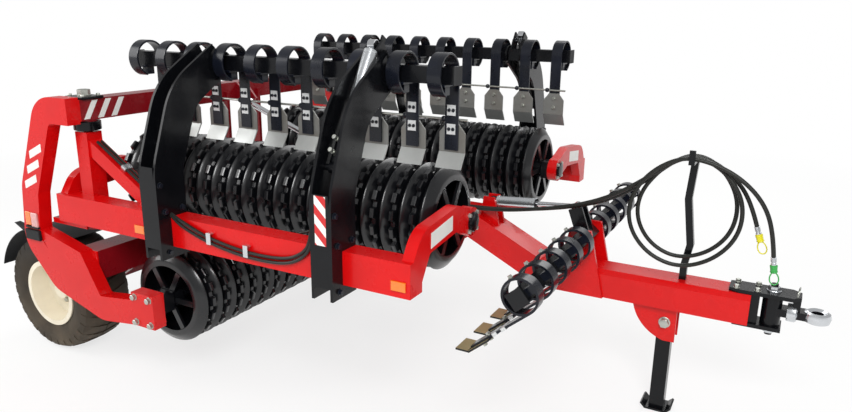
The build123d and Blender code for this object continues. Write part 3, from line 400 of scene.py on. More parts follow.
RED_LOOK = {"coat": 0.18, "grain_mm": 4.0, "relief": 0.03, "dust": 0.07, "specular": 0.22}
FINISHES: dict[str, Finish] = {
    # Sprayed two-pack enamel on steel: a deep even red with a wet gloss and a faint peel
    "red": Finish("signal red enamel", "CE0709", "BA0608", 0.28, **RED_LOOK),
    # The same enamel, with the cross beams between the side arms in a darker red that is painted shade
    "frame_red": TwoToneFrame("two-tone red enamel", "CE0709", "BA0608", 0.28, **RED_LOOK),
    # Dipped black paint over grey cast iron: satin, with the sand grain showing through
    "iron": Finish(
        "black painted cast iron", "0B0C0F", "15161A", 0.30,
        coat=0.35, grain=Grain.CAST, grain_mm=5.0, relief=0.10, specular=0.4,
    ),
    # Sprayed black enamel on folded plate: a soft gloss with hardly any peel
    "black": Finish(
        "black enamel", "0A0B0E", "121317", 0.24,
        coat=0.08, grain_mm=4.0, relief=0.04, specular=0.22,
    ),
    # Tempered spring steel in stove paint: black, with a cold blue cast that is painted sky reflection
    "spring": Finish(
        "blue-black spring steel", "0D1018", "151B2C", 0.27,
        coat=0.12, grain_mm=3.0, relief=0.05, specular=0.3,
    ),
    # Bare rolled plate that works in soil: dull grey with a brown breath
    "plate": Finish(
        "rolled steel plate", "7E7F7C", "6B655C", 0.50,
        metallic=0.55, grain_mm=6.0, relief=0.06, tone=0.6,
    ),
    # Sprayed wheel enamel: warm cream, soiled low down
    "cream": Finish(
        "cream wheel enamel", "EAE2CC", "D9CFB4", 0.36,
        coat=0.2, grain_mm=4.0, relief=0.03, dust=0.35,
    ),
    # Moulded tyre compound: dull brown-black, with dust in its pores
    "tyre": Finish(
        "tyre rubber", "1C1A18", "2E2A25", 0.75,
        grain=Grain.DUSTY, grain_mm=3.0, relief=0.25, dust=0.5, tone=0.7, specular=0.3,
    ),
    # Hard-chromed and ground piston rod: a near mirror
    "chrome": Finish(
        "hard chrome rod", "D4D6D9", "C8CBCF", 0.09,
        metallic=1.0, grain_mm=2.0, relief=0.01,
    ),
    # Drawn aluminium: bright, with a soft highlight
    "silver": Finish(
        "drawn aluminium sleeve", "D2D5D8", "BDC1C5", 0.22,
        metallic=0.9, grain_mm=3.0, relief=0.02,
    ),
    # Polyethylene moulded against a grained tool: flat black, leathery
    "plastic": Finish(
        "moulded polyethylene", "131416", "1C1D20", 0.5,
        grain=Grain.MOULDED, grain_mm=3.0, relief=0.15, specular=0.3,
    ),
    # Extruded rubber cover of a braided hose: dull, a little green
    "hose": Finish(
        "hydraulic hose rubber", "1A1B18", "2A2B25", 0.42,
        grain=Grain.DUSTY, grain_mm=2.0, relief=0.12, specular=0.35,
    ),
    # Working plate that the soil has polished: pale grey in patches
    "silver_plate": Finish(
        "soil-polished plate", "B4B6B4", "9A9B98", 0.36,
        metallic=0.7, grain_mm=6.0, relief=0.05, tone=0.5,
    ),
    # Plate polished by soil, with a straw tint from its annealing
    "straw_plate": Finish(
        "straw-tinted plate", "A59A72", "857B5C", 0.36,
        metallic=0.65, grain_mm=6.0, relief=0.05, tone=0.6,
    ),
    # Thick bright passivated zinc on pressed clamps: nearly white, half matt
    "white_zinc": Finish(
        "bright zinc clamp plate", "D0D2D2", "BEC1C2", 0.42,
        metallic=0.35, grain_mm=4.0, relief=0.03,
    ),
    # Electroplated zinc on bolt heads: bright and slightly yellow
    "bolt": Finish(
        "zinc-plated fastener", "B9BBB4", "A3A498", 0.34,
        metallic=0.9, grain_mm=2.0, relief=0.03,
    ),
    # Prismatic amber lens: small cells that sparkle
    "orange": Finish(
        "amber reflector lens", "E9781A", "D86410", 0.22,
        coat=0.6, grain=Grain.MOULDED, grain_mm=5.0, relief=0.3,
    ),
    # Glass-bead film: white with a fine cell pattern
    "white": Finish(
        "white reflective film", "E4E3DF", "D4D2CC", 0.35,
        coat=0.3, grain=Grain.MOULDED, grain_mm=6.0, relief=0.08,
    ),
    # Lamp glass, clear over red: pink and glossy
    "lamp": Finish(
        "clear and red lamp lens", "D9A7A4", "C96A66", 0.2,
        coat=0.7, grain=Grain.MOULDED, grain_mm=6.0, relief=0.3,
    ),
    # Warning film printed red on white: flat stripes under a clear coat
    "stripes": StripedFilm(
        "red and white warning film", "E6E4E0", "D8D5CE", 0.35,
        coat=0.2, grain_mm=4.0, relief=0.02,
    ),
    # Grips dip-coated in vinyl: even colour, half matt
    "yellow": Finish("yellow vinyl grip", "DAD21E", "C8BE18", 0.35),
    "green": Finish("green vinyl grip", "35A048", "2B8A3C", 0.35),
}
MADE: dict[str, bpy.types.Material] = {}


def material(key: str) -> bpy.types.Material:
    """The material of a finish, made at its first use."""
    if key not in MADE:
        MADE[key] = FINISHES[key].build()
    return MADE[key]


# Mesh building

ORIGIN: Point = (0, 0, 0)
# Sides of turned pieces: fine trim, small pieces and hexagons
ROUND = 40
SMALL_ROUND = 16
HEXAGON = 6
# Points closer than this are one, and edges sharper than this stay sharp
WELD = 1e-6
SHARP = math.radians(35)
# Shortest sideways vector that still gives a tube's section its direction
SIDEWAYS = 1e-4


def circle(radius: float, sides: int) -> list[Flat]:
    """Corners of a regular polygon, from the first axis on."""
    turns = [2 * math.pi * k / sides for k in range(sides)]
    return [(radius * math.cos(a), radius * math.sin(a)) for a in turns]


class Shape:
    """Closed solids gathered in one mesh."""

    def __init__(self) -> None:
        """Starts an empty mesh."""
        self.bm = bmesh.new()

    def loops(self, rings: list[list[Vector]], closed: bool = False, capped: bool = True) -> "Shape":
        """Skins a row of equal rings of points.

        Args:
            rings: rings of points in order, each with the same count.
            closed: True if the last ring joins the first.
            capped: True if the two ends get a face.

        Returns:
            This shape.
        """
        rows = [[self.bm.verts.new(p) for p in ring] for ring in rings]
        count = len(rows[0])
        pairs = list(zip(rows, rows[1:])) + ([(rows[-1], rows[0])] if closed else [])
        for low, high in pairs:
            for k in range(count):
                n = (k + 1) % count
                self.bm.faces.new((low[k], low[n], high[n], high[k]))
        if capped and not closed:
            self.bm.faces.new(rows[0][::-1])
            self.bm.faces.new(rows[-1])
        return self

    def prism(self, outline: list[Flat], low: float, high: float, axis: Axis, edge: float = 0.0) -> "Shape":
        """Draws an outline out along an axis, with its rims chamfered.

        Args:
            outline: corner points in the axis's flat coordinates.
            low: start of the solid along the axis.
            high: end of the solid along the axis.
            axis: direction of the solid.
            edge: chamfer at both rims.

        Returns:
            This shape.
        """
        centre = Vector((sum(p[0] for p in outline), sum(p[1] for p in outline))) / len(outline)

        def ring(w: float, shrink: float) -> list[Vector]:
            """Ring at distance w, drawn in towards the middle.

            Args:
                w: distance along the axis.
                shrink: how far it is drawn in.

            Returns:
                The ring's corners.
            """
            out = []
            for u, v in outline:
                d = Vector((u, v)) - centre
                if shrink and d.length > shrink:
                    d *= 1 - shrink / d.length
                out.append(axis.place(centre.x + d.x, centre.y + d.y, w))
            return out

        if edge:
            return self.loops([ring(low, edge), ring(low + edge, 0), ring(high - edge, 0), ring(high, edge)])
        return self.loops([ring(low, 0), ring(high, 0)])

    def block(self, low: Point, high: Point, edge: float = 0.002) -> "Shape":
        """Chamfered plate or block between two corners."""
        outline = [(low[0], low[1]), (high[0], low[1]), (high[0], high[1]), (low[0], high[1])]
        return self.prism(outline, low[2], high[2], Axis.Z, edge)

    def lathe(
        self, profile: list[Flat], steps: int, axis: Axis, centre: Point = ORIGIN, closed: bool = True
    ) -> "Shape":
        """Turns a profile of (radius, distance) points round an axis.

        Args:
            profile: points in order; closed profiles make a ring-shaped solid.
            steps: number of sides.
            axis: axis of the turned solid.
            centre: point that radius and distance are measured from.
            closed: False for a profile that starts and ends on the axis's caps.

        Returns:
            This shape.
        """
        base = Vector(centre)
        rings = [[base + axis.place(u, v, w) for u, v in circle(r, steps)] for r, w in profile]
        return self.loops(rings, closed=closed, capped=not closed)

    def tube(self, path: list[Vector], radius: float, sides: int = 12) -> "Shape":
        """Round bar along a path of points.

        Args:
            path: points of its middle line.
            radius: its radius.
            sides: corners of its section.

        Returns:
            The same shape.
        """
        rings = []
        side = Vector((0, 0, 1))
        for k, p in enumerate(path):
            ahead = path[min(k + 1, len(path) - 1)] - path[max(k - 1, 0)]
            ahead.normalize()
            side = side - ahead * side.dot(ahead)
            if side.length < SIDEWAYS:
                side = ahead.orthogonal()
            side.normalize()
            other = ahead.cross(side)
            rings.append([p + side * u + other * v for u, v in circle(radius, sides)])
        return self.loops(rings)

    def merge(self, mesh: bpy.types.Mesh, place: Matrix) -> "Shape":
        """Adds a ready mesh at a place.

        Args:
            mesh: the mesh, left as it is.
            place: where it goes.

        Returns:
            The same shape.
        """
        copy = mesh.copy()
        copy.transform(place)
        self.bm.from_mesh(copy)
        bpy.data.meshes.remove(copy)
        return self

    def mesh(self, name: str) -> bpy.types.Mesh:
        """Closes the work and gives the mesh, with faces outwards and sharp corners kept.

        Args:
            name: name of the mesh.

        Returns:
            The mesh.
        """
        bmesh.ops.remove_doubles(self.bm, verts=self.bm.verts, dist=WELD)
        bmesh.ops.recalc_face_normals(self.bm, faces=self.bm.faces)
        data = bpy.data.meshes.new(name)
        self.bm.to_mesh(data)
        self.bm.free()
        for face in data.polygons:
            face.use_smooth = True
        data.set_sharp_from_angle(angle=SHARP)
        return data


def put(name: str, mesh: bpy.types.Mesh, finish: str, body: str, slot: str, *nodes: str) -> bpy.types.Object:
    """Makes a finished piece that rides on a body.

    Args:
        name: name of the piece.
        mesh: its mesh, already in place.
        finish: key of its finish.
        body: CAD body that carries it.
        slot: material slot of the record; not used.
        *nodes: CAD nodes that it stands for.

    Returns:
        The new object.
    """
    obj = bpy.data.objects.new(name, mesh)
    bpy.context.scene.collection.objects.link(obj)
    mesh.materials.clear()
    mesh.materials.append(material(finish))
    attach(obj, body)
    if nodes:
        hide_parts(*nodes)
    LOG.info("%s: %d faces on %s", name, len(mesh.polygons), body)
    return obj


# How far a plate reaches into the face that it lies on
SEAT = 0.001


def skin(
    shape: Shape, outline: list[Flat], axis: Axis, face: float, out: int, thick: float, edge: float
) -> Shape:
    """Lays a thin plate on a flat face.

    Args:
        shape: shape that gets the plate.
        outline: corners in the face's flat coordinates.
        axis: direction square to the face.
        face: place of the face along that axis.
        out: 1 or -1, the way that the face looks.
        thick: thickness of the plate.
        edge: chamfer of its rim.

    Returns:
        The same shape.
    """
    low, high = sorted((face - SEAT * out, face + thick * out))
    return shape.prism(outline, low, high, axis, edge)


def box_outline(u: float, v: float, wide: float, high: float) -> list[Flat]:
    """Corners of a rectangle round a middle point.

    Args:
        u, v: the middle.
        wide, high: the size.

    Returns:
        The corners in turn.
    """
    left, right = u - wide / 2, u + wide / 2
    low, top = v - high / 2, v + high / 2
    return [(left, low), (right, low), (right, top), (left, top)]


@dataclass(frozen=True)
class Panel:
    """Rectangular plate on a flat face: its middle u, v, its size, thickness and rim chamfer."""

    u: float
    v: float
    wide: float
    high: float
    thick: float
    edge: float

    def lay(self, shape: Shape, axis: Axis, face: float, out: int) -> Shape:
        """Lays the plate on a face, out being 1 or -1 for the way the face looks."""
        outline = box_outline(self.u, self.v, self.wide, self.high)
        return skin(shape, outline, axis, face, out, self.thick, self.edge)


def smooth_path(points: list[Point], steps: int = 8) -> list[Vector]:
    """Soft line through a few points, as a bent hose takes it.

    Args:
        points: the points.
        steps: steps between two of them.

    Returns:
        The line's points.
    """
    knots = [Vector(p) for p in points]
    knots = [knots[0] * 2 - knots[1]] + knots + [knots[-1] * 2 - knots[-2]]
    path = []
    for a, b, c, d in zip(knots, knots[1:], knots[2:], knots[3:]):
        for k in range(steps):
            t = k / steps
            first = (c - a) * t
            second = (2 * a - 5 * b + 4 * c - d) * t * t
            third = (3 * b - a - 3 * c + d) * t * t * t
            path.append(0.5 * (2 * b + first + second + third))
    return path + [knots[-2]]


def along(start: Vector, way: Vector) -> Matrix:
    """Place whose Z runs from a start point along a way."""
    return Matrix.Translation(start) @ way.to_track_quat("Z", "Y").to_matrix().to_4x4()


# Geometry Nodes


class Pattern:
    """Geometry Nodes trees that repeat a piece, each built once."""

    trees: dict[str, bpy.types.NodeTree] = {}

    @classmethod
    def start(cls, name: str, sockets: list[tuple[str, str]]) -> tuple[bpy.types.NodeTree, bpy.types.Node]:
        """Opens a tree with geometry in and out and the named inputs.

        Args:
            name: name of the tree.
            sockets: name and type of each input.

        Returns:
            The tree and its input node.
        """
        tree = bpy.data.node_groups.new(name, "GeometryNodeTree")
        tree.interface.new_socket("Geometry", in_out="INPUT", socket_type="NodeSocketGeometry")
        for label, kind in sockets:
            tree.interface.new_socket(label, in_out="INPUT", socket_type=kind)
        tree.interface.new_socket("Geometry", in_out="OUTPUT", socket_type="NodeSocketGeometry")
        return tree, tree.nodes.new("NodeGroupInput")

    @classmethod
    def close(cls, tree: bpy.types.NodeTree, given: bpy.types.Node, shape: bpy.types.NodeSocket) -> None:
        """Ends a tree in Realize Instances and Set Material.

        Args:
            tree: the tree.
            given: its input node.
            shape: geometry so far.
        """
        real = add_node(tree, "GeometryNodeRealizeInstances", links={"Geometry": shape})
        dressed = add_node(
            tree,
            "GeometryNodeSetMaterial",
            links={"Geometry": real.outputs[0], "Material": given.outputs["Material"]},
        )
        add_node(tree, "NodeGroupOutput", links={"Geometry": dressed.outputs[0]})

    @classmethod
    def row(cls) -> bpy.types.NodeTree:
        """Tree that repeats its geometry along a straight line."""
        if "row" not in cls.trees:
            tree, given = cls.start(
                "row of pieces",
                [
                    ("Count", "NodeSocketInt"),
                    ("Step", "NodeSocketVector"),
                    ("Material", "NodeSocketMaterial"),
                ],
            )
            line = add_node(
                tree,
                "GeometryNodeMeshLine",
                settings={"mode": "OFFSET"},
                links={"Count": given.outputs["Count"], "Offset": given.outputs["Step"]},
            )
            copies = add_node(
                tree,
                "GeometryNodeInstanceOnPoints",
                links={"Points": line.outputs[0], "Instance": given.outputs["Geometry"]},
            )
            cls.close(tree, given, copies.outputs[0])
            cls.trees["row"] = tree
        return cls.trees["row"]

    @classmethod
    def turn(cls) -> bpy.types.NodeTree:
        """Tree that repeats its geometry round the Z axis."""
        if "turn" not in cls.trees:
            tree, given = cls.start(
                "pieces round an axis", [("Count", "NodeSocketInt"), ("Material", "NodeSocketMaterial")]
            )
            line = add_node(
                tree,
                "GeometryNodeMeshLine",
                settings={"mode": "OFFSET"},
                values={"Offset": (0, 0, 0)},
                links={"Count": given.outputs["Count"]},
            )
            index = add_node(tree, "GeometryNodeInputIndex").outputs[0]
            share = add_node(
                tree,
                "ShaderNodeMath",
                settings={"operation": "DIVIDE"},
                links={0: index, 1: given.outputs["Count"]},
            )
            angle = add_node(
                tree,
                "ShaderNodeMath",
                settings={"operation": "MULTIPLY"},
                values={1: 2 * math.pi},
                links={0: share.outputs[0]},
            )
            turned = add_node(tree, "ShaderNodeCombineXYZ", links={"Z": angle.outputs[0]})
            copies = add_node(
                tree,
                "GeometryNodeInstanceOnPoints",
                links={
                    "Points": line.outputs[0],
                    "Instance": given.outputs["Geometry"],
                    "Rotation": turned.outputs[0],
                },
            )
            cls.close(tree, given, copies.outputs[0])
            cls.trees["turn"] = tree
        return cls.trees["turn"]

    @classmethod
    def spots(cls) -> bpy.types.NodeTree:
        """Tree that sets a piece on each point of its mesh, its Z along the point's facing."""
        if "spots" not in cls.trees:
            tree, given = cls.start(
                "pieces on spots", [("Piece", "NodeSocketObject"), ("Material", "NodeSocketMaterial")]
            )
            facing = add_node(
                tree,
                "GeometryNodeInputNamedAttribute",
                settings={"data_type": "FLOAT_VECTOR"},
                values={"Name": "facing"},
            ).outputs["Attribute"]
            turned = add_node(
                tree, "FunctionNodeAlignRotationToVector", settings={"axis": "Z"}, links={"Vector": facing}
            )
            piece = add_node(tree, "GeometryNodeObjectInfo", links={"Object": given.outputs["Piece"]})
            copies = add_node(
                tree,
                "GeometryNodeInstanceOnPoints",
                links={
                    "Points": given.outputs["Geometry"],
                    "Instance": piece.outputs["Geometry"],
                    "Rotation": turned.outputs[0],
                },
            )
            cls.close(tree, given, copies.outputs[0])
            cls.trees["spots"] = tree
        return cls.trees["spots"]

    @classmethod
    def made(cls, tree: bpy.types.NodeTree, mesh: bpy.types.Mesh, values: dict) -> bpy.types.Mesh:
        """Runs a tree on a mesh.

        Args:
            tree: tree to run.
            mesh: geometry that goes in.
            values: inputs by name.

        Returns:
            The plain mesh that comes out.
        """
        obj = bpy.data.objects.new("work", mesh)
        bpy.context.scene.collection.objects.link(obj)
        modifier = obj.modifiers.new("work", "NODES")
        modifier.node_group = tree
        for item in tree.interface.items_tree:
            if item.in_out == "INPUT" and item.name in values:
                modifier[item.identifier] = values[item.name]
        graph = bpy.context.evaluated_depsgraph_get()
        result = bpy.data.meshes.new_from_object(obj.evaluated_get(graph), depsgraph=graph)
        bpy.data.objects.remove(obj)
        return result


@dataclass(frozen=True)
class HexBolt:
    """Hexagon bolt head on a washer, sizes in metres.

    foot, rim and crown are radii as shares of the washer or the head, at the washer's
    foot, at its top and at the head's top. full is the height share where the washer is widest.
    """

    across: float = 0.024
    head: float = 0.012
    washer: float = 0.034
    washer_t: float = 0.003
    sunk: float = 0.002
    lap: float = 0.001
    bevel: float = 0.002
    foot: float = 0.92
    rim: float = 0.93
    crown: float = 0.86
    full: float = 0.7

    def mesh(self) -> bpy.types.Mesh:
        """Head and washer with Z out of the surface.

        Returns:
            The mesh.
        """
        shape = Shape()
        r, w = self.across / 2 / math.cos(math.pi / HEXAGON), self.washer / 2
        washer = [
            (w * self.foot, -self.sunk),
            (w, 0.0),
            (w, self.washer_t * self.full),
            (w * self.rim, self.washer_t),
        ]
        shape.lathe(washer, SMALL_ROUND, Axis.Z, closed=False)
        top = self.washer_t + self.head
        head = [(r, self.washer_t - self.lap), (r, top - self.bevel), (r * self.crown, top)]
        shape.lathe(head, HEXAGON, Axis.Z, closed=False)
        return shape.mesh("bolt head")


def bolts(
    name: str, spots: list[tuple[Point, Point]], size: HexBolt, body: str, finish: str = "bolt"
) -> bpy.types.Object:
    """Sets bolt heads on spots of one body.

    Args:
        name: name of the piece.
        spots: pairs of place and outward direction.
        size: the bolt.
        body: CAD body that carries them.
        finish: key of the finish.

    Returns:
        The piece with all the heads.
    """
    carrier = bpy.data.meshes.new("spots")
    carrier.from_pydata([p for p, _ in spots], [], [])
    facing = carrier.attributes.new("facing", "FLOAT_VECTOR", "POINT")
    for k, (_, way) in enumerate(spots):
        facing.data[k].vector = way
    piece = bpy.data.objects.new("bolt", size.mesh())
    bpy.context.scene.collection.objects.link(piece)
    mesh = Pattern.made(Pattern.spots(), carrier, {"Piece": piece, "Material": material(finish)})
    bpy.data.objects.remove(piece)
    return put(name, mesh, finish, body, "zinc_plate")


# Sub-assemblies

AXLE_X = -2.0
CENTRE_X = AXLE_X + 1.050
CENTRE_Z = 0.560
RING_PITCH = 0.114
CENTRE_PAIRS = 21
WING_PAIRS = 19
# Wing hinge X and Y, how far a wing gang laps over the centre gang, and the folded gang's Y and Z
WING_HINGE: Flat = (CENTRE_X - 0.515, 1.215)
GANG_LAP = 0.05
WING_GANG: Flat = (0.700, 1.160)


@dataclass
class RingGang:
    """Gang of smooth and toothed rings in turn.

    play is half the gap between rings. hub_step and hub_edge shape a smooth ring's hub,
    flank and nose its outer slope, each as its depth below ring_r and its distance from
    the middle. Tooth and root give the angles of a tooth's corners in shares of its step.
    """

    name: str
    body: str
    node: str
    pairs: int
    pitch: float = RING_PITCH
    toothed_w: float = 0.034
    ring_r: float = 0.275
    core_r: float = 0.236
    bore_r: float = 0.198
    tooth_r: float = 0.2725
    root_r: float = 0.249
    teeth: int = 18
    sides: int = 64
    play: float = 0.001
    hub_step: float = 0.012
    hub_edge: float = 0.004
    flank: Flat = (0.016, 0.014)
    nose: Flat = (0.003, 0.006)
    tooth: Flat = (-0.25, 0.25)
    root: Flat = (0.36, 0.64)
    web_step: float = 0.008
    tooth_bevel: float = 0.004
    tooth_side: float = 0.009

    def pair(self) -> bpy.types.Mesh:
        """One toothed and one smooth ring, along Z from zero.

        Returns:
            The mesh.
        """
        shape = Shape()
        self.toothed(shape)
        a, b = self.toothed_w + self.play, self.pitch - self.play
        mid = (a + b) / 2
        r, c = self.ring_r, self.core_r
        profile = [
            (self.bore_r, a),
            (c - self.hub_step, a),
            (c, a + self.hub_edge),
            (r - self.flank[0], mid - self.flank[1]),
            (r - self.nose[0], mid - self.nose[1]),
            (r, mid),
            (r - self.nose[0], mid + self.nose[1]),
            (r - self.flank[0], mid + self.flank[1]),
            (c, b - self.hub_edge),
            (c - self.hub_step, b),
            (self.bore_r, b),
        ]
        shape.lathe(profile, self.sides, Axis.Z)
        return shape.mesh("ring pair")

    def toothed(self, shape: Shape) -> None:
        """Toothed ring: blunt teeth with slanted flanks, thinner at their tips.

        Args:
            shape: shape that gets it.
        """
        a, b = self.play, self.toothed_w - self.play
        step = 2 * math.pi / self.teeth
        corners = [(share, self.tooth_r) for share in self.tooth]
        corners += [(share, self.root_r) for share in self.root]
        outline = []
        for k in range(self.teeth):
            start = 2 * math.pi * k / self.teeth
            outline += [(radius, start + share * step) for share, radius in corners]

        def ring(radius_of: Callable[[float], float], w: float) -> list[Vector]:
            """Ring of the outline at distance w, its radii changed by a rule."""
            return [Vector((radius_of(r) * math.cos(t), radius_of(r) * math.sin(t), w)) for r, t in outline]

        web, bevel, side = self.core_r - self.web_step, self.tooth_bevel, self.tooth_side
        shape.loops(
            [
                ring(lambda r: self.bore_r, a),
                ring(lambda r: web, a),
                ring(lambda r: r - bevel, a + bevel),
                ring(lambda r: r, a + side),
                ring(lambda r: r, b - side),
                ring(lambda r: r - bevel, b - bevel),
                ring(lambda r: web, b),
                ring(lambda r: self.bore_r, b),
            ],
            closed=True,
        )

    def build(self, place: Matrix) -> bpy.types.Object:
        """Repeats the pair along the gang and puts it in place.

        Args:
            place: from the gang's own Z axis to the machine.

        Returns:
            The gang's piece.
        """
        mesh = Pattern.made(
            Pattern.row(),
            self.pair(),
            {"Count": self.pairs, "Step": (0, 0, self.pitch), "Material": material("iron")},
        )
        mesh.transform(place)
        return put(self.name, mesh, "iron", self.body, "black_iron", self.node)


@dataclass
class Wheel:
    """Road wheel's tyre with block tread, and the nuts on its rim.

    rows holds the tread block's outline: share of half the width, depth below the radius,
    and how far it has leaned. half_block is half its length as a share of the step.
    """

    side: Side
    x: float = AXLE_X
    y: float = 1.090
    radius: float = 0.390
    width: float = 0.340
    rim_r: float = 0.205
    blocks: int = 30
    nuts: int = 6
    sides: int = 72
    tread: float = 0.008
    lean: float = 0.55
    half_block: float = 0.30
    block_depth: float = 0.018
    block_lap: float = 0.003
    nut_circle: float = 0.085
    nut_face: float = 0.034
    nut: HexBolt = HexBolt(0.026, 0.018, 0.036)
    rows: tuple[Point, ...] = (
        (0.03, 0.0, 0.0), (0.40, 0.001, 0.35), (0.74, 0.009, 0.75), (0.95, 0.030, 1.0),
        (1.0, 0.058, 1.1),
    )

    def wall(self) -> list[Flat]:
        """Half the tyre's section from the bead out to the tread, as radius and distance."""
        r, h = self.radius - self.tread, self.width / 2
        return [
            (self.rim_r + 0.001, 0.40 * self.width),
            (self.rim_r + 0.014, 0.425 * self.width),
            (self.rim_r + 0.050, 0.475 * self.width),
            (r - 0.090, h - 0.001),
            (r - 0.050, h - 0.004),
            (r - 0.022, h * 0.93),
            (r - 0.008, h * 0.80),
            (r - 0.001, h * 0.55),
            (r, h * 0.20),
        ]

    def tyre(self) -> bpy.types.Object:
        """Rounded tyre with slanted tread blocks on both shoulders.

        Returns:
            The tyre's piece.
        """
        half = self.wall()
        shape = Shape()
        shape.lathe(half + [(a, -b) for a, b in reversed(half)], self.sides, Axis.Z)
        body = shape.mesh("tyre")
        block = Shape()
        for sign in (1, -1):
            self.block(block, sign)
        tread = Pattern.made(
            Pattern.turn(),
            block.mesh("tread block"),
            {"Count": self.blocks, "Material": material("tyre")},
        )
        whole = Shape()
        whole.merge(body, Matrix.Identity(4))
        whole.merge(tread, Matrix.Identity(4))
        mesh = whole.mesh("tyre")
        mesh.transform(self.place())
        word = self.side.word
        return put(f"tyre_tread_{word}", mesh, "tyre", f"wheel_{word}", "tyre_rubber", f"tyre_{word}")

    def block(self, shape: Shape, sign: int) -> None:
        """Slanted tread block from the middle out over one shoulder.

        Args:
            shape: shape that gets it.
            sign: 1 or -1, the shoulder.
        """
        half = self.width / 2
        step = 2 * math.pi / self.blocks
        lean = self.lean * step
        rings = []
        for share, fall, skew in self.rows:
            top, low = [], []
            rad = self.radius - fall
            deep = rad - self.block_depth
            for edge in (-self.half_block, self.half_block):
                t = edge * step + skew * lean
                top.append(Vector((rad * math.cos(t), rad * math.sin(t), sign * share * half)))
                inner = sign * (share * half - self.block_lap)
                low.append(Vector((deep * math.cos(t), deep * math.sin(t), inner)))
            rings.append([top[0], top[1], low[1], low[0]])
        shape.loops(rings)

    def place(self) -> Matrix:
        """From the wheel's own Z axis to its place on the axle."""
        turn = Matrix.Rotation(math.radians(90), 4, "X")
        return Matrix.Translation((self.x, self.side.value * self.y, self.radius)) @ turn

    def wheel_nuts(self) -> None:
        """Wheel nuts in the dish."""
        out = self.side.value
        face = out * (self.y + self.nut_face)
        spots = []
        for k in range(self.nuts):
            a = 2 * math.pi * (k + 0.5) / self.nuts
            x = self.x + self.nut_circle * math.cos(a)
            z = self.radius + self.nut_circle * math.sin(a)
            spots.append(((x, face, z), (0, out, 0)))
        bolts(f"wheel_nuts_{self.side.word}", spots, self.nut, f"wheel_{self.side.word}")

    def build(self) -> None:
        """Makes the wheel's pieces."""
        self.tyre()
        self.wheel_nuts()


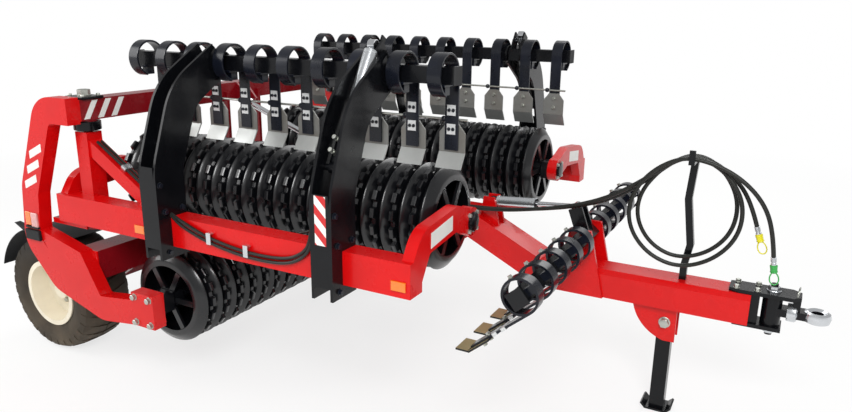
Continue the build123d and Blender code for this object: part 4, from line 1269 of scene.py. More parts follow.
@dataclass
class SideArmTrim:
    """Films, reflector, lamp, foot bolts and hinge fittings of one side arm.

    The white bars on the arm's side follow a leaning line through the point arm_line with
    the slope arm_lean. arm_bar holds a bar's corners round its middle, as X and Z. top_bar
    holds how far in Y the corners of a bar at the top are from its middle.
    """

    side: Side
    face: float = 1.380
    foot: Flat = (-0.950, 0.550)
    foot_bolts: Flat = (0.058, 0.075)
    film_t: float = 0.0008
    film_edge: float = 0.0002
    bar_heights: tuple[float, ...] = (1.19, 1.285, 1.38)
    arm_line: Flat = (-1.625, 1.63)
    arm_lean: float = 0.4286
    arm_bar: tuple[Flat, ...] = ((-0.058, -0.050), (0.058, 0.004), (0.058, 0.050), (-0.058, -0.004))
    bar_places: tuple[float, ...] = (1.225, 1.135, 1.045)
    top_face: float = -1.405
    top_low: float = 1.578
    top_high: float = 1.682
    top_bar: Flat = (0.050, 0.012)
    amber: Panel = Panel(-1.882, 0.955, 0.048, 0.082, 0.009, 0.003)
    lens: Panel = Panel(-1.822, 0.945, 0.056, 0.100, 0.012, 0.004)
    bracket: tuple[Panel, ...] = (
        Panel(-1.845, 0.858, 0.130, 0.062, 0.020, 0.004),
        Panel(-1.845, 0.905, 0.120, 0.010, 0.016, 0.002),
    )
    foot_bolt: HexBolt = HexBolt(0.030, 0.018, 0.040)
    pin: Flat = (-1.465, 1.215)
    cap_half: Flat = (0.075, 0.070)
    cap_z: Flat = (1.689, 1.704)
    cap_edge: float = 0.003
    collar_r: float = 0.075
    collar_l: float = 0.044
    collar_z: float = 1.514
    collar_fall: Flat = (0.0015, 0.003)
    pin_nut: HexBolt = HexBolt(0.062, 0.030, 0.080, 0.006)
    cap_bolts: Flat = (0.055, 0.050)
    cap_bolt: HexBolt = HexBolt(0.019, 0.010, 0.026)

    def build(self) -> None:
        """Makes the arm's small pieces."""
        word, out = self.side.word, self.side.value
        self.bars()
        amber = self.amber.lay(Shape(), Axis.Y, out * self.face, out)
        put(f"amber_arm_{word}", amber.mesh("amber"), "orange", "rear_frame", "red_paint")
        lens = self.lens.lay(Shape(), Axis.Y, out * self.face, out)
        put(f"lamp_lens_{word}", lens.mesh("lens"), "lamp", "rear_frame", "red_paint")
        bracket = Shape()
        for panel in self.bracket:
            panel.lay(bracket, Axis.Y, out * self.face, out)
        put(f"lamp_bracket_{word}", bracket.mesh("bracket"), "plastic", "rear_frame", "black_plastic")
        cx, cz = self.foot
        wide, high = self.foot_bolts
        places = [(cx + dx, out * self.face, cz + dz) for dx in (-wide, wide) for dz in (-high, high)]
        spots = [(place, (0, out, 0)) for place in places]
        bolts(f"arm_foot_bolts_{word}", spots, self.foot_bolt, "rear_frame")
        self.hinge()

    def bars(self) -> None:
        """White bars of film on the arm's side and on the forward face at its top."""
        word, out = self.side.word, self.side.value
        film = Shape()
        for z in self.bar_heights:
            x = self.arm_line[0] - (self.arm_line[1] - z) * self.arm_lean
            bar = [(x + u, z + v) for u, v in self.arm_bar]
            skin(film, bar, Axis.Y, out * self.face, out, self.film_t, self.film_edge)
        wide, thin = self.top_bar
        for y in self.bar_places:
            low, high = self.top_low, self.top_high
            bar = [(y + wide, low), (y + thin, low), (y - wide, high), (y - thin, high)]
            bar = [(out * u, v) for u, v in bar]
            skin(film, bar, Axis.X, self.top_face, 1, self.film_t, self.film_edge)
        put(f"white_bars_{word}", film.mesh("white bars"), "white", "rear_frame", "zinc_plate")

    def hinge(self) -> None:
        """Clamp plate and nut over the wing's hinge pin, and the collar below the beam."""
        word, out = self.side.word, self.side.value
        x, y = self.pin[0], out * self.pin[1]
        (half_x, half_y), (low, top) = self.cap_half, self.cap_z
        cap = Shape()
        cap.block((x - half_x, y - half_y, low), (x + half_x, y + half_y, top), self.cap_edge)
        r, run = self.collar_r, self.collar_l
        small, large = self.collar_fall
        collar = [(r - small, -large), (r, 0.0), (r, run), (r - large, run + large)]
        cap.lathe(collar, ROUND, Axis.Z, (x, y, self.collar_z), closed=False)
        put(f"hinge_cap_{word}", cap.mesh("hinge cap"), "black", "rear_frame", "black_paint")
        bolts(f"hinge_nut_{word}", [((x, y, top), (0, 0, 1))], self.pin_nut, "rear_frame")
        wide, deep = self.cap_bolts
        places = [(x + dx, y + dy, top) for dx in (-wide, wide) for dy in (-deep, deep)]
        spots = [(place, (0, 0, 1)) for place in places]
        bolts(f"hinge_bolts_{word}", spots, self.cap_bolt, "rear_frame")


@dataclass
class WingTrim:
    """Bearing caps, reflectors, clamps and held hoses of one wing frame.

    plate, gang and boom_bolts_at hold Y and Z, with Y counted outwards, and cap holds
    radius and distance. hose_route holds X, distance out from the hoses' own plane, height,
    and the share of the lower hose's drop that the point takes. hose_spread is how far the
    lower hose stands ahead, from the point spread_from on, and outwards. hose_clamps pairs
    each clamp's X with its height. brace_clamp_at holds corners along and square to the brace.
    """

    side: Side
    beam_face: float = 1.340
    front_face: float = 0.749
    rear_face: float = -1.649
    gang: Flat = WING_GANG
    cap: tuple[Flat, ...] = ((0.052, -0.001), (0.052, 0.010), (0.046, 0.016), (0.020, 0.020))
    cap_bolt_circle: float = 0.060
    cap_bolts: int = 4
    cap_bolt: HexBolt = HexBolt(0.019, 0.011, 0.026)
    plate: tuple[Flat, ...] = ((1.150, 1.148), (0.930, 1.176), (0.930, 1.250), (1.150, 1.222))
    plate_t: float = 0.0012
    plate_edge: float = 0.0003
    ambers: tuple[Panel, ...] = (
        Panel(-0.950, 1.020, 0.075, 0.046, 0.009, 0.003),
        Panel(0.690, 1.020, 0.075, 0.046, 0.009, 0.003),
    )
    boom_x: tuple[float, ...] = (-0.8231, 0.2713)
    boom_w: float = 0.120
    boom_face: float = 1.4195
    film_z: float = 1.285
    film_size: Flat = (0.062, 0.230)
    film_t: float = 0.0008
    film_edge: float = 0.0002
    boom_bolts_at: tuple[Flat, ...] = (
        (1.365, 0.940), (1.250, 0.940), (1.375, 1.165), (1.260, 1.165), (1.395, 1.310),
    )
    boom_bolt: HexBolt = HexBolt(0.024, 0.013, 0.034)
    hose_r: float = 0.0085
    hose_sides: int = 10
    hose_out: float = 0.012
    hose_drop: float = 0.024
    hose_spread: Flat = (0.012, 0.002)
    hose_route: tuple[tuple[float, float, float, float], ...] = (
        (-0.690, -0.004, 1.150, 0.3),
        (-0.600, 0.002, 1.118, 1.0),
        (-0.420, 0.0, 1.062, 1.0),
        (-0.175, 0.0, 1.030, 1.0),
        (0.060, 0.0, 1.040, 1.0),
        (0.190, 0.004, 1.105, 1.0),
        (0.238, 0.014, 1.215, 1.0),
        (0.248, 0.020, 1.340, 1.0),
    )
    spread_from: int = 6
    hose_clamps: tuple[Flat, ...] = ((-0.420, 1.060), (-0.175, 1.035))
    clamp_size: Flat = (0.030, 0.062)
    clamp_t: float = 0.003
    clamp_out: float = 0.0215
    clamp_edge: float = 0.001
    foot_high: float = 0.006
    foot_out: float = 0.0225
    foot_off: float = 0.027
    foot_edge: float = 0.0005
    brace_top: Flat = (-1.465, 1.503)
    brace_fall: float = 0.6168
    brace_run: float = 0.300
    brace_y: Flat = (1.188, 1.242)
    brace_clamp_at: tuple[Flat, ...] = (
        (-0.018, -0.0135), (0.018, -0.0135), (0.018, 0.0105), (-0.018, 0.0105),
    )
    brace_edge: float = 0.002

    @property
    def body(self) -> str:
        """Body that carries the trim."""
        return f"wing_{self.side.word}"

    def build(self) -> None:
        """Makes the wing's small pieces."""
        self.bearing_caps()
        self.films()
        self.boom_bolts()
        self.held_hoses()

    def bearing_caps(self) -> None:
        """Round caps and bolts where the gang's shaft ends in the arms."""
        out = self.side.value
        y, z = out * self.gang[0], self.gang[1]
        caps, spots = Shape(), []
        for face, way in ((self.front_face, 1), (self.rear_face, -1)):
            profile = [(radius, run * way) for radius, run in self.cap]
            caps.lathe(profile, ROUND, Axis.X, (face, y, z), closed=False)
            for k in range(self.cap_bolts):
                a = math.pi / 4 + k * math.pi / 2
                reach = self.cap_bolt_circle
                spots.append(((face, y + reach * math.cos(a), z + reach * math.sin(a)), (way, 0, 0)))
        put(f"bearing_caps_{self.side.word}", caps.mesh("caps"), "black", self.body, "black_paint")
        bolts(f"bearing_bolts_{self.side.word}", spots, self.cap_bolt, self.body)

    def films(self) -> None:
        """Blank plate on the front arm, amber reflectors on the beam, striped film on the boom."""
        word, out = self.side.word, self.side.value
        corners = [(out * y, z) for y, z in self.plate]
        plate = skin(Shape(), corners, Axis.X, self.front_face, 1, self.plate_t, self.plate_edge)
        put(f"blank_plate_{word}", plate.mesh("plate"), "white", self.body, "zinc_plate")
        amber = Shape()
        for panel in self.ambers:
            panel.lay(amber, Axis.Y, out * self.beam_face, out)
        put(f"amber_beam_{word}", amber.mesh("amber"), "orange", self.body, "red_paint")
        outline = box_outline(self.boom_x[1] + self.boom_w / 2, self.film_z, *self.film_size)
        film = skin(Shape(), outline, Axis.Y, out * self.boom_face, out, self.film_t, self.film_edge)
        put(f"striped_film_{word}", film.mesh("film"), "stripes", self.body, "red_paint")

    def boom_bolts(self) -> None:
        """Bolts through both plates of each boom, round the beam and up the strip."""
        word, out = self.side.word, self.side.value
        spots = []
        for x in self.boom_x:
            for face, way in ((x, -1), (x + self.boom_w, 1)):
                spots += [((face, out * y, z), (way, 0, 0)) for y, z in self.boom_bolts_at]
        bolts(f"boom_bolts_{word}", spots, self.boom_bolt, self.body, "spring")

    def held_hoses(self) -> None:
        """Hoses held along the outside of the beam, with their clamps."""
        word, out = self.side.word, self.side.value
        hoses = Shape()
        for k, drop in enumerate((0.0, self.hose_drop)):
            y = self.beam_face + self.hose_out + self.hose_spread[1] * k
            route = []
            for n, (x, off, z, share) in enumerate(self.hose_route):
                ahead = self.hose_spread[0] * k if n >= self.spread_from else 0.0
                route.append((x + ahead, out * (y + off), z - share * drop))
            hoses.tube(smooth_path(route), self.hose_r, self.hose_sides)
        put(f"beam_hoses_{word}", hoses.mesh("hoses"), "hose", self.body, "hose_rubber")
        clamp = Shape()
        wide, high = self.clamp_size
        for x, z in self.hose_clamps:
            outer = out * (self.beam_face + self.clamp_out)
            skin(clamp, box_outline(x, z, wide, high), Axis.Y, outer, out, self.clamp_t, self.clamp_edge)
            for off in (-self.foot_off, self.foot_off):
                foot = box_outline(x, z + off, wide, self.foot_high)
                skin(clamp, foot, Axis.Y, out * self.beam_face, out, self.foot_out, self.foot_edge)
        self.brace_clamp(clamp)
        put(f"hose_clamps_{word}", clamp.mesh("clamps"), "silver", self.body, "zinc_plate")

    def brace_clamp(self, shape: Shape) -> None:
        """Clamp over both pipes, part of the way down the sloping brace.

        Args:
            shape: shape that gets it.
        """
        run = self.brace_run
        middle = (self.brace_top[0] + run, self.brace_top[1] - run * self.brace_fall)
        lean = math.atan(self.brace_fall)
        outline = []
        for ahead, square in self.brace_clamp_at:
            x = middle[0] + ahead * math.cos(lean) + square * math.sin(lean)
            z = middle[1] - ahead * math.sin(lean) + square * math.cos(lean)
            outline.append((x, z))
        low, high = sorted(self.side.value * y for y in self.brace_y)
        shape.prism(outline, low, high, Axis.Y, self.brace_edge)


@dataclass
class BoardCylinder:
    """Fine pieces of the cylinder that turns one wing board.

    base and eye are Y and Z of its ends, with Y counted outwards. The shroud's ends are
    counted back from the eye. Profiles are pairs of radius and distance.
    """

    side: Side
    base: Flat = (1.300, 1.505)
    eye: Flat = (0.970, 2.035)
    x: float = 0.3313
    shroud_r: float = 0.0355
    wall: float = 0.0035
    shroud_ends: Flat = (0.285, 0.035)
    collar: float = 0.012
    slope: float = 0.014
    waist: float = 0.0015
    lid_lap: float = 0.001
    lid_t: float = 0.006
    lid_rise: float = 0.003
    lid_hole: float = 0.020
    ports: tuple[float, ...] = (0.060, 0.122)
    port: tuple[Flat, ...] = ((0.011, 0.026), (0.011, 0.052))
    nipple: tuple[Flat, ...] = ((0.0075, 0.050), (0.0075, 0.064), (0.0105, 0.066), (0.0105, 0.076))
    nipple_sides: int = 12

    def build(self) -> None:
        """Makes the shroud on the rod and the fittings on the barrel."""
        word, out = self.side.word, self.side.value
        start = Vector((self.x, out * self.base[0], self.base[1]))
        end = Vector((self.x, out * self.eye[0], self.eye[1]))
        place = along(start, (end - start).normalized())
        mesh = self.shroud((end - start).length).mesh("shroud")
        mesh.transform(place)
        put(f"rod_shroud_{word}", mesh, "silver", f"board_rod_{word}", "zinc_plate")
        fit = Shape()
        for at in self.ports:
            fit.lathe(list(self.port), HEXAGON, Axis.Y, (0, 0, at), closed=False)
            fit.lathe(list(self.nipple), self.nipple_sides, Axis.Y, (0, 0, at), closed=False)
        mesh = fit.mesh("fittings")
        mesh.transform(place)
        put(f"barrel_fittings_{word}", mesh, "bolt", f"board_barrel_{word}", "zinc_plate")

    def shroud(self, run: float) -> Shape:
        """Open tube with a collar at each end and a lid towards the rod's eye.

        Args:
            run: distance between the cylinder's ends.

        Returns:
            The shroud along Z from the cylinder's base.
        """
        r, bore, narrow = self.shroud_r, self.shroud_r - self.wall, self.shroud_r - self.waist
        a, b = run - self.shroud_ends[0], run - self.shroud_ends[1]
        profile = [
            (bore, a),
            (r, a),
            (r, a + self.collar),
            (narrow, a + self.slope),
            (narrow, b - self.slope),
            (r, b - self.collar),
            (r, b),
            (bore, b),
        ]
        shape = Shape()
        shape.lathe(profile, ROUND, Axis.Z)
        rim = bore + self.lid_lap
        lid = [(rim, b - self.lid_t), (rim, b), (self.lid_hole, b + self.lid_rise)]
        shape.lathe(lid, ROUND, Axis.Z, closed=False)
        return shape


@dataclass
class CentreCylinder:
    """Bright cover round the centre board's cylinder. base and eye are X and Z of its ends."""

    base: Flat = (0.560, 1.080)
    eye: Flat = (1.090, 1.120)
    cover: tuple[Flat, ...] = (
        (0.0305, 0.040), (0.0365, 0.042), (0.0365, 0.052), (0.0345, 0.054), (0.0345, 0.262),
        (0.0365, 0.264), (0.0365, 0.282), (0.0305, 0.284),
    )
    ports: tuple[float, ...] = (0.075, 0.245)
    port: tuple[Flat, ...] = ((0.011, 0.030), (0.011, 0.056))

    def build(self) -> None:
        """Makes the cover and its fittings."""
        start = Vector((self.base[0], 0, self.base[1]))
        end = Vector((self.eye[0], 0, self.eye[1]))
        shape = Shape()
        shape.lathe(list(self.cover), ROUND, Axis.Z, closed=False)
        for at in self.ports:
            shape.lathe(list(self.port), HEXAGON, Axis.X, (0, 0, at), closed=False)
        mesh = shape.mesh("cover")
        mesh.transform(along(start, (end - start).normalized()))
        put("centre_cylinder_cover", mesh, "silver", "centre_barrel", "zinc_plate")


@dataclass
class WingBoard:
    """Spring tines, levelling plates, cross rod, clamps, bolts and end caps of one wing's board.

    Each tine is a band clamped under the tube, bent over its top and down to a straight
    leg. Heights ending in _up are counted from the leg's lower end. gap keeps the plates
    and the rod off the band.
    """

    side: Side
    y: float = 0.880
    z: float = 1.905
    x0: float = -1.310
    pitch: float = 0.218889
    count: int = 10
    loop_r: float = 0.104
    loop_turn: int = 250
    loop_steps: int = 26
    leg: float = 0.370
    leg_steps: int = 5
    band_w: float = 0.072
    band_t: float = 0.011
    band_edge: float = 0.0015
    post: Flat = (0.022, 0.024)
    post_lap: float = 0.001
    post_top: float = 0.039
    pad: Flat = (0.030, 0.046)
    pad_z: Flat = (0.052, 0.0395)
    seat_edge: float = 0.002
    gap: float = 0.0003
    plate_w: float = 0.140
    plate_t: float = 0.008
    plate_edge: float = 0.001
    plate_up: float = 0.130
    bend_fall: float = 0.012
    corner: Flat = (0.036, 0.045)
    foot_out: float = 0.042
    foot_fall: Flat = (0.074, 0.076)
    clamp_up: tuple[float, ...] = (0.196, 0.104)
    clamp_size: Flat = (0.046, 0.052)
    clamp_face: float = 0.012
    clamp_t: float = 0.004
    clamp_edge: float = 0.0012
    clamp_bolt_x: float = 0.011
    clamp_bolt: HexBolt = HexBolt(0.013, 0.006, 0.018, 0.002)
    plate_bolts_up: tuple[float, ...] = (0.095, 0.035)
    plate_bolt: HexBolt = HexBolt(0.019, 0.009, 0.026)
    rod_r: float = 0.006
    rod_sides: int = 12
    rod_up: float = 0.150
    rod_over: float = 0.078
    ball: tuple[Flat, ...] = (
        (0.004, -0.015), (0.011, -0.011), (0.0145, -0.004), (0.0145, 0.004), (0.011, 0.011),
        (0.004, 0.015),
    )
    ball_off: float = 0.048
    ends: Flat = (-1.380, 0.730)
    cap_size: float = 0.088
    cap_t: float = 0.006
    cap_edge: float = 0.0015

    @property
    def body(self) -> str:
        """Body that carries the board."""
        return f"board_{self.side.word}"

    @property
    def tip(self) -> float:
        """Height of the legs' lower ends."""
        return self.z - self.leg

    @property
    def inner(self) -> float:
        """Distance of the legs' inner faces from the machine's middle."""
        return self.y - self.loop_r

    def repeat(self, shape: Shape, name: str, finish: str) -> bpy.types.Mesh:
        """Repeats a piece at every tine.

        Args:
            shape: the piece at the first tine.
            name: name of its mesh.
            finish: key of the finish.

        Returns:
            The mesh with all the copies.
        """
        return Pattern.made(
            Pattern.row(),
            shape.mesh(name),
            {"Count": self.count, "Step": (self.pitch, 0, 0), "Material": material(finish)},
        )

    def build(self) -> None:
        """Makes the board's pieces."""
        self.tines()
        self.shields()
        self.feet()
        self.clamps()
        self.rod()
        self.heads()

    def tines(self) -> None:
        """Spring bands: clamped under the tube, over its top, and down as a leg on the inner side."""
        word, out = self.side.word, self.side.value
        r = self.loop_r - self.band_t / 2
        line = []
        for k in range(self.loop_steps + 1):
            a = math.radians(self.loop_turn - self.loop_turn * k / self.loop_steps)
            line.append((-r * math.cos(a), r * math.sin(a), -math.cos(a), math.sin(a)))
        for k in range(1, self.leg_steps + 1):
            line.append((-r, -self.leg * k / self.leg_steps, -1.0, 0.0))
        half, t, c = self.band_w / 2, self.band_t / 2, self.band_edge
        section = [(-half, -t + c), (-half + c, -t), (half - c, -t), (half, -t + c)]
        section += [(half, t - c), (half - c, t), (-half + c, t), (-half, t - c)]
        rings = []
        for u, v, nu, nv in line:
            places = [(self.x0 + w, out * (self.y + u + nu * d), self.z + v + nv * d) for w, d in section]
            rings.append([Vector(place) for place in places])
        band = Shape()
        band.loops(rings)
        self.seat(band)
        mesh = self.repeat(band, "tines", "spring")
        put(f"spring_tines_{word}", mesh, "spring", self.body, "black_paint", f"board_tines_{word}")
        caps = Shape()
        outline = box_outline(out * self.y, self.z, self.cap_size, self.cap_size)
        for face, way in zip(self.ends, (-1, 1)):
            skin(caps, outline, Axis.X, face, way, self.cap_t, self.cap_edge)
        put(f"board_caps_{word}", caps.mesh("caps"), "plastic", self.body, "black_plastic")

    def seat(self, band: Shape) -> None:
        """Post and pad that hold the band's end below the tube.

        Args:
            band: shape that gets them.
        """
        x, y = self.x0, self.side.value * self.y
        wide, deep = self.post
        low = self.z - self.loop_r + self.band_t - self.post_lap
        high = self.z - self.post_top
        band.block((x - wide, y - deep, low), (x + wide, y + deep, high), self.seat_edge)
        wide, deep = self.pad
        low, high = self.z - self.pad_z[0], self.z - self.pad_z[1]
        band.block((x - wide, y - deep, low), (x + wide, y + deep, high), self.seat_edge)

    def shields(self) -> None:
        """Upper plate at every tine, its top corners cut off."""
        word, out = self.side.word, self.side.value
        inner = out * self.inner
        low, high = sorted((inner - out * self.gap, inner - out * (self.gap + self.plate_t)))
        w, top, bend = self.plate_w / 2, self.tip + self.plate_up, self.tip - self.bend_fall
        cut, fall = self.corner
        corners = [(-w, bend), (w, bend), (w, top - fall)]
        corners += [(w - cut, top), (-w + cut, top), (-w, top - fall)]
        shield = [(self.x0 + u, v) for u, v in corners]
        mesh = self.repeat(Shape().prism(shield, low, high, Axis.Y, self.plate_edge), "shields", "plate")
        put(f"board_shields_{word}", mesh, "plate", self.body, "zinc_plate", f"board_plates_{word}")

    def feet(self) -> None:
        """Lower plate at every tine, bent outwards."""
        out = self.side.value
        w, bend = self.plate_w / 2, self.tip - self.bend_fall
        a, b, t = out * self.inner, out * (self.inner + self.foot_out), out * self.plate_t
        upper, lower = (bend - fall for fall in self.foot_fall)
        rings = []
        for x in (self.x0 - w, self.x0 + w):
            ring = [Vector((x, a - t, bend)), Vector((x, a, bend))]
            ring += [Vector((x, b + 0.5 * t, upper)), Vector((x, b - 0.5 * t, lower))]
            rings.append(ring)
        foot = Shape()
        foot.loops(rings)
        mesh = self.repeat(foot, "feet", "silver_plate")
        put(f"board_feet_{self.side.word}", mesh, "silver_plate", self.body, "zinc_plate")

    def clamps(self) -> None:
        """Two small clamp plates on every leg."""
        out = self.side.value
        face = out * (self.inner + self.clamp_face)
        clamp = Shape()
        for up in self.clamp_up:
            outline = box_outline(self.x0, self.tip + up, *self.clamp_size)
            skin(clamp, outline, Axis.Y, face, out, self.clamp_t, self.clamp_edge)
        mesh = self.repeat(clamp, "clamps", "white_zinc")
        put(f"rod_clamps_{self.side.word}", mesh, "white_zinc", self.body, "zinc_plate")

    def rod(self) -> None:
        """Cross rod with a ball at every tine."""
        word, out = self.side.word, self.side.value
        y = out * (self.inner - self.rod_r - self.gap)
        z = self.tip + self.rod_up
        start = self.x0 - self.rod_over
        end = self.x0 + self.pitch * (self.count - 1) + self.rod_over
        bar = Shape().tube([Vector((start, y, z)), Vector((end, y, z))], self.rod_r, self.rod_sides)
        put(f"cross_rod_{word}", bar.mesh("rod"), "bolt", self.body, "zinc_plate")
        ball = Shape()
        ball.lathe(list(self.ball), SMALL_ROUND, Axis.X, (self.x0 - self.ball_off, y, z), closed=False)
        mesh = self.repeat(ball, "balls", "spring")
        put(f"rod_balls_{word}", mesh, "spring", self.body, "black_paint")

    def heads(self) -> None:
        """Bolts of the clamps and the plates."""
        word, out = self.side.word, self.side.value
        face = out * (self.inner + self.clamp_face + self.clamp_t)
        back = out * (self.inner - self.gap - self.plate_t)
        wide = self.clamp_bolt_x
        small, large = [], []
        for k in range(self.count):
            x = self.x0 + k * self.pitch
            for up in self.clamp_up:
                small += [((x + dx, face, self.tip + up), (0, out, 0)) for dx in (-wide, wide)]
            large += [((x, back, self.tip + up), (0, -out, 0)) for up in self.plate_bolts_up]
        bolts(f"clamp_bolts_{word}", small, self.clamp_bolt, self.body, "spring")
        bolts(f"plate_bolts_{word}", large, self.plate_bolt, self.body)


@dataclass
class CentreBoard:
    """Bolts, bright plate faces, leg clamps and end caps of the centre spring board.

    Its flat coordinates turn with the board: u square to the legs, v up along them. Places
    named _at are counted from the leg's outer face and from its lower end.
    """

    x: float = 1.150
    z: float = 0.960
    half: float = 1.080
    lean: float = 50.0
    loop_r: float = 0.092
    leg: float = 0.370
    tube: float = 0.080
    per_side: int = 5
    first_y: float = 0.190
    margin: float = 0.250
    bolt: HexBolt = HexBolt(0.021, 0.011, 0.028)
    front_at: Flat = (0.007, 0.078)
    front_apart: float = 0.035
    back_at: Flat = (-0.0118, 0.10)
    loop_bolt_in: float = 0.0005
    cap_over: float = 0.004
    cap_t: float = 0.006
    cap_edge: float = 0.0015
    plate_w: float = 0.120
    plate_rim: float = 0.001
    plate_v: Flat = (0.113, -0.012)
    plate_faces: Flat = (0.0071, -0.0010)
    sheet_t: float = 0.0012
    foot_at: Flat = (-0.020, -0.037)
    foot_lean: float = 40.0
    foot_sheet: tuple[Flat, ...] = (
        (-0.030, 0.0038), (0.032, 0.0038), (0.032, 0.0052), (-0.030, 0.0052),
    )
    clamp_up: tuple[float, ...] = (0.205, 0.150)
    clamp_u: Flat = (-0.014, 0.004)
    clamp_half: Flat = (0.040, 0.013)
    clamp_edge: float = 0.002

    def spot(self, u: float, v: float) -> Flat:
        """X and Z of a point, from the board's own flat coordinates."""
        a = math.radians(self.lean)
        return (self.x + u * math.cos(a) + v * math.sin(a), self.z - u * math.sin(a) + v * math.cos(a))

    def at(self, place: Flat) -> Flat:
        """X and Z of a place counted from the leg's outer face and lower end."""
        return self.spot(self.loop_r + place[0], -self.leg + place[1])

    def build(self) -> None:
        """Makes the bolts at every tine, the plates and clamps, and the caps."""
        spots = []
        way_x, way_z = self.spot(1, 0)[0] - self.x, self.spot(1, 0)[1] - self.z
        step = (self.half - self.margin) / (self.per_side - 1)
        ys = [side * (self.first_y + k * step) for side in (1, -1) for k in range(self.per_side)]
        for y in ys:
            x, z = self.at(self.front_at)
            for dy in (-self.front_apart, self.front_apart):
                spots.append(((x, y + dy, z), (way_x, 0, way_z)))
            for x, z in (self.at(self.back_at), self.spot(-self.loop_r + self.loop_bolt_in, 0)):
                spots.append(((x, y, z), (-way_x, 0, -way_z)))
        self.plates(ys)
        bolts("centre_board_bolts", spots, self.bolt, "centre_board")
        caps = Shape()
        h = self.tube / 2 + self.cap_over
        outline = [self.spot(u, v) for u, v in ((-h, -h), (h, -h), (h, h), (-h, h))]
        for out in (1, -1):
            skin(caps, outline, Axis.Y, out * self.half, out, self.cap_t, self.cap_edge)
        put("centre_board_caps", caps.mesh("caps"), "plastic", "centre_board", "black_plastic")

    def plates(self, ys: list[float]) -> None:
        """Bright faces of the levelling plates, and the clamps on the legs.

        Args:
            ys: Y of every tine.
        """
        faces, clamps = Shape(), Shape()
        half = self.plate_w / 2 - self.plate_rim
        front, back = self.plate_faces
        outlines = [self.sheet(front, 1), self.sheet(back, -1), self.foot(1), self.foot(-1)]
        wide = self.clamp_half[0]
        for y in ys:
            for outline in outlines:
                faces.prism(outline, y - half, y + half, Axis.Y)
            for up in self.clamp_up:
                clamps.prism(self.clamp(up), y - wide, y + wide, Axis.Y, self.clamp_edge)
        put("centre_plates", faces.mesh("plates"), "straw_plate", "centre_board", "zinc_plate")
        put("centre_clamps", clamps.mesh("clamps"), "white_zinc", "centre_board", "zinc_plate")

    def sheet(self, u: float, way: int) -> list[Flat]:
        """Outline of the thin bright sheet on one face of the upper plate.

        Args:
            u: the face, counted from the leg's outer face.
            way: 1 or -1, the way that the face looks.

        Returns:
            The outline's corners as X and Z.
        """
        high, low = self.plate_v
        far = u + way * self.sheet_t
        return [self.at(place) for place in ((u, high), (far, high), (far, low), (u, low))]

    def foot(self, way: int) -> list[Flat]:
        """Outline of the thin bright sheet on one face of the bent foot.

        Args:
            way: 1 or -1, the way that the face looks.

        Returns:
            The outline's corners as X and Z.
        """
        a = math.radians(self.foot_lean)
        ahead, square = (-math.sin(a), -math.cos(a)), (math.cos(a), -math.sin(a))
        outline = []
        for run, rise in self.foot_sheet:
            u = self.foot_at[0] + ahead[0] * run + square[0] * rise * way
            v = self.foot_at[1] + ahead[1] * run + square[1] * rise * way
            outline.append(self.at((u, v)))
        return outline

    def clamp(self, up: float) -> list[Flat]:
        """Outline of a clamp round the leg.

        Args:
            up: height of its middle above the leg's lower end.

        Returns:
            The outline's corners as X and Z.
        """
        (x0, z0), (x1, z1) = (self.at((u, up)) for u in self.clamp_u)
        size = math.hypot(z1 - z0, x0 - x1)
        dx, dz = (part / size * self.clamp_half[1] for part in (z1 - z0, x0 - x1))
        return [(x0 - dx, z0 - dz), (x1 - dx, z1 - dz), (x1 + dx, z1 + dz), (x0 + dx, z0 + dz)]


